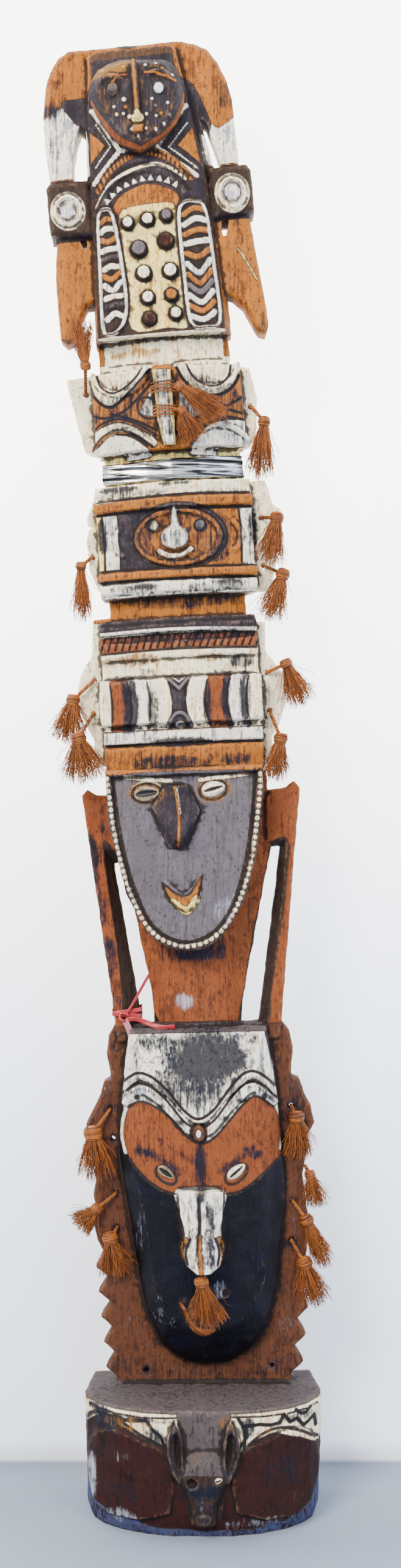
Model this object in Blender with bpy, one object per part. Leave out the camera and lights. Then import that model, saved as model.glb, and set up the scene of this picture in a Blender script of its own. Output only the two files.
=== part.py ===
"""Tall carved and painted totem board on a half-log base.

A hanging figure stands over three carved bands, a flat grey mask in an open
frame and a long mask in a toothed panel, all cut from one log. Lengths are
millimetres here and metres in Blender. A place on the carving is (u, f, s):
u across to the viewer's right, f forward from the back of the board, s up
along it. The log is cut in stages, and an outline carved on one is drawn as
(u, share) points, whose share is in hundredths of that stage's height. The
carving is modelled straight and bowed to the left at the end.
"""
import math
from collections import namedtuple

import bmesh
import bpy

MM = 0.001
# Clearance between two pieces that touch
GAP = 0.6

# Stages of the carving, from the floor up
BASE_HEIGHT = 129.0
PANEL_HEIGHT = 385.0
FRAME_HEIGHT = 269.0
COLLAR_HEIGHT = 166.0
LOWER_NECK_HEIGHT = 24.0
FACE_BAND_HEIGHT = 120.0
UPPER_NECK_HEIGHT = 35.0
LOBE_BAND_HEIGHT = 86.0
WAIST_HEIGHT = 35.0
FIGURE_HEIGHT = 313.0
PANEL_LOW = BASE_HEIGHT
FRAME_LOW = PANEL_LOW + PANEL_HEIGHT
COLLAR_LOW = FRAME_LOW + FRAME_HEIGHT
LOWER_NECK_LOW = COLLAR_LOW + COLLAR_HEIGHT
FACE_BAND_LOW = LOWER_NECK_LOW + LOWER_NECK_HEIGHT
UPPER_NECK_LOW = FACE_BAND_LOW + FACE_BAND_HEIGHT
LOBE_BAND_LOW = UPPER_NECK_LOW + UPPER_NECK_HEIGHT
WAIST_LOW = LOBE_BAND_LOW + LOBE_BAND_HEIGHT
FIGURE_LOW = WAIST_LOW + WAIST_HEIGHT
TOTAL_HEIGHT = FIGURE_LOW + FIGURE_HEIGHT
# How far one stage runs into the next
LAP = 8.0

# Bow of the log: its sideways lean at the top, and how late it sets in
BOW = 74.0
BOW_POWER = 2.4

# Base
BASE_HALF_WIDTH = 126.0
BASE_BACK_HALF = 119.0
BASE_BACK = -14.0
BASE_SHOULDER = 45.0
BASE_FRONT = 122.0
# The origin lies under this depth, midway through the base
BASE_MIDDLE = (BASE_BACK + BASE_FRONT) / 2.0
HUMP_LIFT = 2.5
# How square the base's front is, from 2 for an ellipse
BASE_POWER = 2.6

# Toothed panel and its wings
WING_BACK = 5.0
WING_FRONT = 28.0
# The open frame's arms, a little thinner behind and prouder in front than the wings
ARM_BOARD_BACK = WING_BACK + 1.5
ARM_BOARD_FRONT = WING_FRONT + 3.0
HOLE_RADIUS = 3.6
TOOTH_DEPTH = 13.0

# Depths of the boards and bands between their flat back and crowned front
NECK_BACK = 3.0
NECK_EDGE = 26.0
NECK_CROWN = 41.0
BAND_BACK = 0.0
BAND_EDGE = 40.0
BAND_CROWN = 57.0
COLLAR_CENTRE = -5.0
COLLAR_HALF = 83.0
FACE_BAND_CENTRE = -2.0
FACE_BAND_HALF = 83.0
LOBE_BAND_HALF = 80.0
NECK_HALF = 73.0
# The nose bar down the lobe band, and the shares of the band's height at which it is tied
NOSE_BAR_FRONT = BAND_CROWN + 20.0
NOSE_BAR_TIES = (41.9, 69.8)
WAIST_HALF = 70.0

# Masks
LONG_MASK_RIM = 38.0
LONG_MASK_CROWN = 70.0
LONG_NOSE_TIP = 104.0
GREY_MASK_BACK = 34.0
GREY_MASK_RIM = 76.0
GREY_MASK_FIELD = 70.0
GREY_MASK_CROWN = 73.0
GREY_NOSE_TIP = 92.0

# Hanging figure
TORSO_FRONT = 61.0
TORSO_BACK = 6.0
# How far the middle of the torso's front stands before its sides
TORSO_SWELL = 1.0
ARM_BACK = 12.0
ARM_FRONT = 46.0
HEAD_RIM = 78.0
HEAD_CROWN = 92.0
CUFF_FRONT = 56.0
DISC_RADIUS = 17.0
PEG_LIFT = 9.0

# Foil strip and plastic tie
FOIL_THICKNESS = 1.6
FOIL_WIDTH = 22.0
TIE_WIDTH = 6.0
TIE_THICKNESS = 1.5

Stage = namedtuple("Stage", "low high")
BASE = Stage(0.0, BASE_HEIGHT)
PANEL = Stage(PANEL_LOW, FRAME_LOW)
FRAME = Stage(FRAME_LOW, COLLAR_LOW)
FIGURE = Stage(FIGURE_LOW, TOTAL_HEIGHT)
Band = namedtuple("Band", "low high centre half edge crown")
COLLAR = Band(COLLAR_LOW, COLLAR_LOW + COLLAR_HEIGHT, COLLAR_CENTRE, COLLAR_HALF, BAND_EDGE, BAND_CROWN)
FACE_BAND = Band(FACE_BAND_LOW, FACE_BAND_LOW + FACE_BAND_HEIGHT, FACE_BAND_CENTRE, FACE_BAND_HALF,
                 BAND_EDGE, BAND_CROWN)
LOBE_BAND = Band(LOBE_BAND_LOW, LOBE_BAND_LOW + LOBE_BAND_HEIGHT, 0.0, LOBE_BAND_HALF, BAND_EDGE, BAND_CROWN)
UPPER_NECK = Band(UPPER_NECK_LOW, UPPER_NECK_LOW + UPPER_NECK_HEIGHT, 0.0, NECK_HALF, NECK_EDGE, NECK_CROWN)
LOWER_NECK = Band(LOWER_NECK_LOW, LOWER_NECK_LOW + LOWER_NECK_HEIGHT, -4.0, NECK_HALF, NECK_EDGE, NECK_CROWN)
WAIST = Band(WAIST_LOW, WAIST_LOW + WAIST_HEIGHT, 0.0, WAIST_HALF, NECK_EDGE + 6.0, NECK_CROWN + 6.0)


def clear_scene():
    """Remove whatever the file holds."""
    for old in list(bpy.data.objects):
        bpy.data.objects.remove(old, do_unlink=True)


def place(u, f, s):
    """A point of the straight carving in metres, facing -Y."""
    return (u * MM, (BASE_MIDDLE - f) * MM, s * MM)


def up(stage, share):
    """Height up the carving of a share of a stage, in hundredths."""
    return stage.low + (stage.high - stage.low) * share / 100.0


def drawn(stage, points):
    """Turn a stage's (u, share) points into (u, s)."""
    return [(u, up(stage, share)) for u, share in points]


def bow(mesh):
    """Lean a mesh with the log: its sections slide left and turn square to the curve."""
    reach = TOTAL_HEIGHT * MM
    for vertex in mesh.vertices:
        x, y, z = vertex.co
        share = max(z, 0.0) / reach
        shift = -BOW * MM * share ** BOW_POWER
        turn = math.atan(BOW * MM * BOW_POWER / reach * share ** (BOW_POWER - 1.0))
        vertex.co = (shift + x * math.cos(turn), y, z + x * math.sin(turn))


def smooth_loop(points, each=3, closed=True):
    """A Catmull-Rom curve through points, with a few steps to each span."""
    count = len(points)
    spans = count if closed else count - 1
    curve = []
    for i in range(spans):
        if closed:
            a, b, c, d = (points[(i + k - 1) % count] for k in range(4))
        else:
            a, b, c, d = (points[min(max(i + k - 1, 0), count - 1)] for k in range(4))
        for step in range(each):
            t = step / each
            curve.append(tuple(
                0.5 * (2 * b[k] + (c[k] - a[k]) * t + (2 * a[k] - 5 * b[k] + 4 * c[k] - d[k]) * t * t
                       + (3 * b[k] - a[k] - 3 * c[k] + d[k]) * t ** 3)
                for k in range(len(b))))
    if not closed:
        curve.append(tuple(points[-1]))
    return curve


def new_object(name, bm):
    """Turn a bmesh into an object of plain triangles with its faces pointing out."""
    bm.normal_update()
    bmesh.ops.triangulate(bm, faces=bm.faces)
    bmesh.ops.recalc_face_normals(bm, faces=bm.faces)
    if bm.calc_volume(signed=True) < 0.0:
        bmesh.ops.reverse_faces(bm, faces=bm.faces)
    mesh = bpy.data.meshes.new(name)
    bm.to_mesh(mesh)
    bm.free()
    piece = bpy.data.objects.new(name, mesh)
    bpy.context.scene.collection.objects.link(piece)
    return piece


def loft(name, rings, closed=False):
    """Join rings of (u, f, s) points, one after the other, and cap or close the ends."""
    bm = bmesh.new()
    loops = [[bm.verts.new(place(*p)) for p in ring] for ring in rings]
    count = len(rings[0])
    pairs = list(zip(loops, loops[1:]))
    if closed:
        pairs.append((loops[-1], loops[0]))
    for low, high in pairs:
        for i in range(count):
            j = (i + 1) % count
            bm.faces.new((low[i], low[j], high[j], high[i]))
    if not closed:
        bm.faces.new(list(reversed(loops[0])))
        bm.faces.new(loops[-1])
    return new_object(name, bm)


def inset(outline, depth):
    """Move a closed (u, s) outline inwards by depth."""
    count = len(outline)
    area = sum(outline[i - 1][0] * outline[i][1] - outline[i][0] * outline[i - 1][1] for i in range(count))
    inward = depth if area > 0 else -depth
    moved = []
    for i, (u, s) in enumerate(outline):
        before, after = outline[i - 1], outline[(i + 1) % count]
        along_in = math.atan2(s - before[1], u - before[0])
        along_out = math.atan2(after[1] - s, after[0] - u)
        half = ((along_out - along_in + math.pi) % (2 * math.pi) - math.pi) / 2
        reach = inward / max(math.cos(half), 0.6)
        moved.append((u - math.sin(along_in + half) * reach, s + math.cos(along_in + half) * reach))
    return moved


def plank(name, outline, back, front, rounding=0.0):
    """A flat outline carried through a board's thickness, with its front edges rounded."""
    levels = [(outline, back), (outline, front)]
    if rounding:
        levels = [(inset(outline, rounding * 0.6), back), (outline, back + rounding),
                  (outline, front - rounding), (inset(outline, rounding), front)]
    return loft(name, [[(u, f, s) for u, s in ring] for ring, f in levels])


def crown_at(band, u):
    """Depth of a band's crowned front at a place across it."""
    across = (u - band.centre) / band.half
    return band.edge + (band.crown - band.edge) * (1.0 - min(across * across, 1.0))


def band_ring(band, s, back, grow=0.0, lift=0.0, steps=8):
    """One level of a band: a flat back and a crowned front."""
    left, right = band.centre - band.half - grow, band.centre + band.half + grow
    ring = [(left + 3.0, back, s), (right - 3.0, back, s)]
    for i in range(steps + 1):
        u = band.centre + (band.half + grow) * math.cos(math.pi * i / steps)
        ring.append((u, crown_at(band, u) + lift, s))
    return ring


def moulding(name, band, foot, head, lift, grow=0.0, rounding=2.0):
    """A raised strip across a band between two shares of its height, rounded at both edges."""
    low, high = up(band, foot), up(band, head)
    back = BAND_BACK + 2.0
    levels = [(low, -1.0), (low + rounding, lift), (high - rounding, lift), (high, -1.0)]
    return loft(name, [band_ring(band, s, back, grow * (rise > 0), rise) for s, rise in levels])


def block(name, band, back, lap=LAP):
    """The body of a band or neck, run into the stages above and below it."""
    levels = (band.low - lap, (band.low + band.high) / 2.0, band.high + lap)
    return loft(name, [band_ring(band, s, back) for s in levels])


def ridge(name, path, width, surface, lift, sink=4.0, closed=False):
    """A raised line of paint and wood that follows a path over a carved surface."""
    rings = []
    count = len(path)
    for i, (u, s) in enumerate(path):
        before = path[i - 1] if (i or closed) else path[i]
        after = path[(i + 1) % count] if (i < count - 1 or closed) else path[i]
        angle = math.atan2(after[1] - before[1], after[0] - before[0])
        du, ds = -math.sin(angle) * width / 2.0, math.cos(angle) * width / 2.0
        f = surface(u, s)
        rings.append([(u - du, f - sink, s - ds), (u - du * 0.8, f + lift, s - ds * 0.8),
                      (u + du * 0.8, f + lift, s + ds * 0.8), (u + du, f - sink, s + ds)])
    return loft(name, rings, closed=closed)


def boss(name, u, f, s, radius, height, sides=8, tall=1.0, taper=0.9):
    """A short round plug that stands out of the front, its back at depth f."""
    bm = bmesh.new()
    bmesh.ops.create_cone(bm, cap_ends=True, segments=sides, radius1=radius * MM,
                          radius2=radius * taper * MM, depth=height * MM)
    for vertex in bm.verts:
        x, y, z = vertex.co
        vertex.co = (x + u * MM, (BASE_MIDDLE - f - height / 2.0) * MM - z, y * tall + s * MM)
    return new_object(name, bm)


def bead(name, u, f, s, length, width, height, turn=0.0, segments=8, rings=5):
    """A shell or bead: an ellipsoid lying on the front, its long side turned from level."""
    bm = bmesh.new()
    bmesh.ops.create_uvsphere(bm, u_segments=segments, v_segments=rings, radius=1.0)
    for vertex in bm.verts:
        x, y, z = vertex.co
        along, across = x * length / 2.0, y * width / 2.0
        vertex.co = place(u + along * math.cos(turn) - across * math.sin(turn),
                          f + z * height / 2.0,
                          s + along * math.sin(turn) + across * math.cos(turn))
    return new_object(name, bm)


def box(name, low, high):
    """A plain block between two (u, f, s) corners."""
    outline = [(low[0], low[2]), (high[0], low[2]), (high[0], high[2]), (low[0], high[2])]
    return plank(name, outline, low[1], high[1])


def dome(name, outline, middle, levels):
    """Close an outline over with rings that shrink towards its middle; levels are (share, depth)."""
    rings = []
    for share, f in levels:
        rings.append([(middle[0] + (u - middle[0]) * share, f, middle[1] + (s - middle[1]) * share)
                      for u, s in outline])
    return loft(name, rings)


def dome_depth(outline, middle, levels):
    """Depth of a dome's front at (u, s), for what is carved on it."""
    def depth(u, s):
        du, ds = u - middle[0], s - middle[1]
        distance = math.hypot(du, ds)
        if distance < 1e-6:
            return levels[-1][1]
        edge = distance
        for i in range(len(outline)):
            (au, as_), (bu, bs) = outline[i - 1], outline[i]
            au, as_, bu, bs = au - middle[0], as_ - middle[1], bu - middle[0], bs - middle[1]
            cross = du * (bs - as_) - ds * (bu - au)
            if abs(cross) < 1e-9:
                continue
            t = (au * (bs - as_) - as_ * (bu - au)) / cross
            k = (au * ds - as_ * du) / cross
            if t > 0 and -1e-6 <= k <= 1.0 + 1e-6:
                edge = t * distance
        share = min(distance / edge, 1.0)
        for (outer, f_outer), (inner, f_inner) in zip(levels, levels[1:]):
            if inner <= share <= outer and outer > inner:
                return f_inner + (f_outer - f_inner) * (share - inner) / (outer - inner)
        return levels[-1][1]
    return depth


def arc(u, s, across, tall, start, end, steps):
    """Points of an ellipse's arc; the angles are degrees from the right, turning up."""
    return [(u + across * math.cos(math.radians(start + (end - start) * i / steps)),
             s + tall * math.sin(math.radians(start + (end - start) * i / steps)))
            for i in range(steps + 1)]


def base_ring(s, scale, power, centre=0.0, lift=0.0, steps=12):
    """One level of the half-log base; a lower power makes its front rounder."""
    ring = [(centre - BASE_BACK_HALF * scale, BASE_BACK, s), (centre + BASE_BACK_HALF * scale, BASE_BACK, s)]
    front = BASE_FRONT * (0.35 + 0.65 * scale)
    for i in range(steps + 1):
        across = math.cos(math.pi * i / steps)
        rise = max(1.0 - abs(across) ** power, 0.0) ** 0.5
        ring.append((centre + (BASE_HALF_WIDTH * scale + lift) * across,
                     BASE_SHOULDER + (front + lift - BASE_SHOULDER) * rise, s))
    return ring


def half_log_base():
    """The standing block: flat back and underside, crowned front with its lower corners worn off."""
    levels = [(0.0, 0.945, 2.1), (7.8, 0.97, 2.3), (40.0, 1.0, BASE_POWER),
              (96.9, 1.0, BASE_POWER), (100.0, 0.98, BASE_POWER)]
    return loft("base", [base_ring(up(BASE, share), scale, power) for share, scale, power in levels])


def base_humps():
    """Two low rounded fields on the base's front, left and right of the animal's head."""
    humps = []
    for side in (-1, 1):
        half = ((34, 20.2), (36, 65.1), (58, 74.4), (88, 82.2), (109, 77.5), (119, 63.6), (120, 31.0),
                (100, 14.0))
        shape = smooth_loop([(side * u, share) for u, share in half], 2)
        slab = plank("hump_outline", drawn(BASE, shape), BASE_SHOULDER - 20.0, BASE_FRONT + 20.0)
        shell = loft("hump_skin", [base_ring(up(BASE, share), 1.0, BASE_POWER, lift=HUMP_LIFT)
                                   for share in (10.9, 90.7)])
        humps.append(combine(slab, [shell], "INTERSECT"))
    return humps


def animal_head():
    """Relief of a long-eared animal's head on the base: muzzle, cheeks and two hollowed ears."""
    muzzle_front = BASE_FRONT + 12.0
    face = smooth_loop([(0, 7.8), (13, 10.9), (14, 26.4), (24, 43.4), (27, 57.4), (14, 69.8),
                        (-14, 69.8), (-27, 57.4), (-24, 43.4), (-14, 26.4), (-13, 10.9)], 2)
    face_levels = [(1.0, BASE_FRONT - 12.0), (0.94, BASE_FRONT + 3.0), (0.72, muzzle_front - 3.0),
                   (0.35, muzzle_front)]
    pieces = [dome("animal_face", drawn(BASE, face), (0, up(BASE, 40.3)), face_levels)]
    for side in (-1, 1):
        half = ((28, 93.8), (36, 82.2), (37, 66.7), (31, 51.2), (23, 43.4), (20, 55.8), (20, 71.3),
                (22, 83.7))
        ear = smooth_loop([(side * u, share) for u, share in half], 2)
        pieces.append(dome("animal_ear", drawn(BASE, ear), (side * 28, up(BASE, 68.2)), [
            (1.0, BASE_FRONT - 14.0), (0.95, BASE_FRONT + 6.0), (0.78, BASE_FRONT + 8.0),
            (0.6, BASE_FRONT + 3.0), (0.3, BASE_FRONT + 2.0)]))
    pieces.append(boss("animal_nostrils", 0, BASE_FRONT + 4.0, up(BASE, 18.6), 10, 10.5, sides=8, tall=0.7))
    return pieces


def saw_edge(side, first, pitch, teeth, inner, lean):
    """The saw teeth up one edge of the toothed panel; first and pitch are shares of its height."""
    edge = [(side * inner, PANEL_LOW - LAP)]
    for i in range(teeth):
        root = inner + lean * i
        edge.append((side * root, up(PANEL, first + pitch * (i - 0.42))))
        edge.append((side * (root + TOOTH_DEPTH), up(PANEL, first + pitch * i)))
    return edge


def toothed_panel():
    """Board behind the long mask: saw teeth below, stepped wings above, pierced for tassels."""
    left = saw_edge(-1, 4.4, 7.0, 5, 91.0, 2.6)
    left += drawn(PANEL, [
        (-105, 36.1), (-112, 39.7), (-116, 44.7), (-112, 49.1), (-116, 52.5), (-113, 56.1), (-118, 69.9),
        (-123, 72.5), (-116, 75.8), (-107, 80.5), (-103, 84.4), (-95, 85.5), (-99, 92.7), (-97, 97.1),
        (-90, 100.5)])
    right = saw_edge(1, 5.7, 7.5, 4, 95.0, 2.8)
    right += drawn(PANEL, [
        (109, 31.9), (113, 36.1), (116, 42.3), (112, 47.5), (109, 57.4), (116, 69.1), (122, 71.9),
        (119, 76.4), (112, 80.0), (107, 84.4), (98, 85.2), (101, 93.0), (97, 97.7), (90, 100.0)])
    return plank("panel", left + list(reversed(right)), WING_BACK, WING_FRONT, 2.0)


LONG_OUTLINE = drawn(PANEL, [
    (-72, 99.5), (-79, 88.6), (-86, 76.1), (-88, 63.9), (-83, 52.2), (-77, 43.1), (-70, 30.9), (-60, 20.3),
    (-44, 11.4), (-21, 7.0), (4, 5.7), (28, 6.5), (52, 9.9), (69, 16.4), (80, 27.5), (86, 40.5),
    (89, 54.8), (88, 66.5), (84, 78.2), (79, 88.6), (72, 99.5)])
LONG_MIDDLE = (1.0, up(PANEL, 60.0))
# Shares of the panel's height between which the long mask's nose stands
NOSE_TOP = 56.4
NOSE_FOOT = 35.3
NOSE_FLARE = 13.0
BROW_BEAD_PLACE = (-2, 71.9)
BEAD_RING_HEIGHT = 13.0
LONG_LEVELS = [(1.0, WING_FRONT - 6.0), (0.995, LONG_MASK_RIM), (0.94, LONG_MASK_RIM + 10.0),
               (0.8, LONG_MASK_CROWN - 9.0), (0.55, LONG_MASK_CROWN - 3.0), (0.2, LONG_MASK_CROWN)]


def brow_line(drop):
    """The wavy brow of the long mask, high over each eye and dipping to the nose."""
    line = smooth_loop(drawn(PANEL, [(-80, 79.7), (-62, 84.9), (-36, 80.8), (-1, 72.2), (32, 80.3),
                                     (58, 84.9), (79, 79.2)]), 3, closed=False)
    return [(u, s - drop) for u, s in line]


def long_mask():
    """The long domed mask with its hooded brow, eye field, nose and open mouth."""
    front = dome_depth(LONG_OUTLINE, LONG_MIDDLE, LONG_LEVELS)
    pieces = [dome("long_mask", LONG_OUTLINE, LONG_MIDDLE, LONG_LEVELS)]
    forehead = drawn(PANEL, [(-73, 99.5), (-80, 88.6)]) + brow_line(-6.0)
    forehead += drawn(PANEL, [(79, 88.6), (72, 99.5)])
    hood = inset(forehead, 3.0)
    step = LONG_MASK_RIM + 6.0
    pieces.append(loft("hood", [[(u, WING_FRONT - 4.0, s) for u, s in forehead],
                                [(u, max(front(u, s) + 2.0, step), s) for u, s in forehead],
                                [(u, max(front(u, s) + 6.0, step + 5.0), s) for u, s in hood]]))
    pieces.append(ridge("brow", brow_line(4.0), 11.0, front, 4.0, sink=8.0))
    nose = drawn(PANEL, [(-24, NOSE_TOP), (-20, 44.4), (-17, 41.8), (-20, 40.3), (-17, 37.1), (-8, NOSE_FOOT),
                         (10, NOSE_FOOT), (19, 37.1), (21, 40.3), (18, 42.1), (20, 44.4), (23, NOSE_TOP)])
    bridge = LONG_MASK_CROWN + 12.0
    top, foot = up(PANEL, NOSE_TOP), up(PANEL, NOSE_FOOT)
    side, crest = [], []
    for u, s in nose:
        down = (top - s) / (top - foot)
        side.append((u, bridge + NOSE_FLARE * down, s))
        crest.append((u * 0.55, bridge + 5.0 + (LONG_NOSE_TIP - bridge - 5.0) * down, s))
    pieces.append(loft("nose", [[(u, LONG_MASK_CROWN - 10.0, s) for u, s in nose], side, crest]))
    mouth = smooth_loop(drawn(PANEL, [(-22, 24.2), (-11, 18.7), (3, 15.6), (14, 17.1), (16, 19.2), (4, 19.2),
                                      (-6, 21.8), (-17, 25.7)]), 2)
    pieces.append(loft("mouth", [[(u, front(u, s) - 4.0, s) for u, s in mouth],
                                 [(u, front(u, s) + 3.0, s) for u, s in mouth]]))
    u, share = BROW_BEAD_PLACE
    pieces.append(boss("brow_bead_ring", u, LONG_MASK_CROWN - 4.0, up(PANEL, share), 7.0, BEAD_RING_HEIGHT,
                       sides=8, tall=1.35))
    return pieces, front


GREY_OUTLINE = smooth_loop(drawn(FRAME, [
    (-89, 102.6), (-89, 87.7), (-85, 74.7), (-77, 60.2), (-66, 48.7), (-50, 38.3), (-30, 32.3), (-8, 30.5),
    (14, 32.3), (34, 38.7), (53, 50.6), (66, 65.4), (73, 82.2), (77, 94.4), (77, 102.6)]), 2, closed=False)
GREY_MIDDLE = (-6.0, up(FRAME, 69.1))
GREY_LEVELS = [(0.9, GREY_MASK_BACK), (1.0, GREY_MASK_RIM - 8.0), (0.985, GREY_MASK_RIM),
               (0.93, GREY_MASK_RIM), (0.915, GREY_MASK_FIELD), (0.5, GREY_MASK_CROWN),
               (0.15, GREY_MASK_CROWN + 0.5)]


def grey_mask():
    """The flat-faced mask: a standing rim, a shallow field, a pyramid nose and a crescent mouth."""
    front = dome_depth(GREY_OUTLINE, GREY_MIDDLE, GREY_LEVELS)
    pieces = [dome("grey_mask", GREY_OUTLINE, GREY_MIDDLE, GREY_LEVELS)]
    nose = drawn(FRAME, [(-27, 95.9), (-41, 87.4), (-24, 71.7), (-8, 71.0), (10, 85.5), (-4, 95.9)])
    ridge_line = drawn(FRAME, [(-17, 95.2), (-20, 88.5), (-18, 75.1), (-12, 74.3), (-11, 87.7), (-13, 95.2)])
    crest = [(u, GREY_NOSE_TIP - (s - ridge_line[3][1]) * 0.16, s) for u, s in ridge_line]
    pieces.append(loft("grey_nose", [[(u, GREY_MASK_FIELD - 4.0, s) for u, s in nose],
                                     [(u, GREY_MASK_CROWN + 4.0, s) for u, s in nose], crest]))
    mouth = smooth_loop(drawn(FRAME, [(-31, 58.4), (-24, 50.6), (-8, 46.5), (2, 51.3), (6, 60.2), (-1, 55.8),
                                      (-12, 52.8), (-22, 55.8)]), 2)
    pieces.append(loft("grey_mouth", [[(u, front(u, s) - 4.0, s) for u, s in mouth],
                                      [(u, front(u, s) + 2.5, s) for u, s in mouth]]))
    return pieces, front


def open_frame():
    """Tapering neck board behind the grey mask and the two slim arms that stand beside it."""
    levels = [(-3.0, -46, 45), (12.6, -49, 50), (33.8, -58, 60), (50.6, -67, 71), (69.9, -83, 84),
              (103.0, -82, 82)]
    rings = []
    for share, left, right in levels:
        middle, half = (left + right) / 2.0, (right - left) / 2.0
        section = Band(FRAME.low, FRAME.high, middle, half, NECK_EDGE, NECK_CROWN)
        rings.append(band_ring(section, up(FRAME, share), NECK_BACK))
    pieces = [loft("frame_neck", rings)]
    for side in (-1, 1):
        outer = [(88, -5.9), (92, 9.7), (95, 21.9), (101, 35.7), (108, 52.8), (114, 69.1),
                 (118, 83.3), (118, 92.9), (112, 95.2), (103, 92.9), (86, 92.6)]
        inner = [(80, 88.5), (80, 69.9), (94, 69.9), (88, 52.4), (80, 34.2), (71, 14.1), (62, -5.9)]
        shaved = [(80, 88.5), (80, 72.5), (101, 72.5), (97, 52.4), (90, 34.2), (81, 14.1), (72, -5.9)]
        if side < 0:
            inner = [(80, 88.5), (80, 65.4), (86, 65.4), (79, 51.3), (72, 35.7), (65, 19.0), (59, -5.9)]
            shaved = [(80, 88.5), (80, 71.4), (98, 71.4), (94, 52.4), (88, 34.2), (81, 17.1), (75, -5.9)]
        whole, opened = drawn(FRAME, outer + inner), drawn(FRAME, outer + shaved)
        back = [(side * u, ARM_BOARD_BACK, s) for u, s in whole]
        middle = [(side * u, WING_FRONT - 10.0, s) for u, s in whole]
        front = [(side * (u - 1.5 * (u > 87)), ARM_BOARD_FRONT, s) for u, s in opened]
        pieces.append(loft("frame_arm", [back, middle, front]))
    return pieces


def wing(name, band, points, inner):
    """A thin wing beside a band: its outer edge, closed against the band."""
    edge = drawn(band, points)
    return plank(name, edge + [(inner, edge[-1][1]), (inner, edge[0][1])], WING_BACK, WING_FRONT, 1.5)


def collar_band():
    """Striped collar: rounded bar, hatched bar, plain field, raised striped field and two brow bands."""
    band = COLLAR
    pieces = [block("collar", band, BAND_BACK, lap=0.0)]
    pieces.append(moulding("collar_brow", band, 0.6, 18.7, 3.0, grow=1.0))
    pieces.append(moulding("collar_white", band, 19.9, 30.1, 5.0, grow=2.0))
    pieces.append(moulding("collar_stripes", band, 31.9, 62.0, 9.0, grow=5.0))
    pieces.append(moulding("collar_hatched", band, 74.1, 86.1, 4.0, grow=1.0))
    pieces.append(moulding("collar_top", band, 89.2, 97.6, 6.0, grow=1.0, rounding=4.0))
    left = [(-96, 103.0), (-100, 78.9), (-110, 69.9), (-116, 59.0), (-115, 44.0),
            (-108, 32.5), (-101, 23.5), (-102, 10.8), (-95, 7.8)]
    right = [(89, 95.8), (87, 77.1), (97, 68.7), (107, 59.0), (106, 42.8),
             (98, 29.5), (90, 21.7), (88, 4.8)]
    pieces.append(wing("collar_wing_left", band, left, -70))
    pieces.append(wing("collar_wing_right", band, right, 60))
    return pieces


def band_face(front):
    """The round face on the face band: a ring, eyes, a drop-shaped nose and a mouth bar."""
    middle = up(FACE_BAND, 50.0)
    unit = FACE_BAND_HEIGHT / 100.0
    pieces = [ridge("face_ring", arc(1, middle, 46, 24 * unit, 0, 345, 23), 4.0, front, 2.5, closed=True)]
    for side, name in ((-1, "left"), (1, "right")):
        path = arc(1 + side * 5, middle, 62, 28 * unit, 90 - side * 62, 90 - side * 118, 6)
        pieces.append(ridge("face_arc_" + name, path, 5.0, front, 2.5))
        pieces.append(boss("face_eye_" + name, 1 + side * 24, front(24, middle) - 3.0, up(FACE_BAND, 60.0),
                           5.5, 7.0))
    drop = smooth_loop(drawn(FACE_BAND, [(-4, 74.2), (-7, 60.8), (-17, 51.7), (-14, 41.7), (-3, 38.3),
                                         (9, 41.7), (12, 51.7), (3, 60.8), (1, 74.2)]), 2)
    pieces.append(loft("face_nose", [[(u, BAND_CROWN - 7.0, s) for u, s in drop],
                                     [(u, BAND_CROWN + 6.0, s) for u, s in drop],
                                     [(-3 + (u + 3) * 0.6, BAND_CROWN + 10.0, s) for u, s in drop]]))
    mouth = arc(-3, up(FACE_BAND, 45.0), 20, 11.7 * unit, 205, 335, 6)
    pieces.append(ridge("face_mouth", mouth, 6.0, front, 4.0))
    return pieces


def face_band():
    """Band with a round face between two mouldings, and its stepped wings."""
    band = FACE_BAND

    def front(u, s):
        return crown_at(band, u)

    pieces = [block("face_band", band, BAND_BACK + 1.0, lap=0.0)]
    pieces.append(moulding("face_band_foot", band, 1.7, 13.3, 4.0, grow=1.0, rounding=3.0))
    pieces.append(moulding("face_band_lower", band, 14.2, 23.3, 7.0, grow=2.0))
    pieces.append(moulding("face_band_upper", band, 75.8, 86.7, 7.0, grow=2.0))
    pieces += band_face(front)
    left = [(-84, 99.2), (-89, 88.3), (-96, 75.8), (-96, 70.8), (-88, 68.3),
            (-95, 65.0), (-98, 53.3), (-98, 41.7), (-96, 27.5), (-90, 14.2),
            (-84, 5.8)]
    right = [(98, 99.2), (101, 88.3), (105, 76.7), (113, 72.5), (113, 55.0),
             (111, 45.8), (99, 8.3), (93, 1.7)]
    pieces.append(wing("face_wing_left", band, left, -70))
    pieces.append(wing("face_wing_right", band, right, 70))
    return pieces


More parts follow.
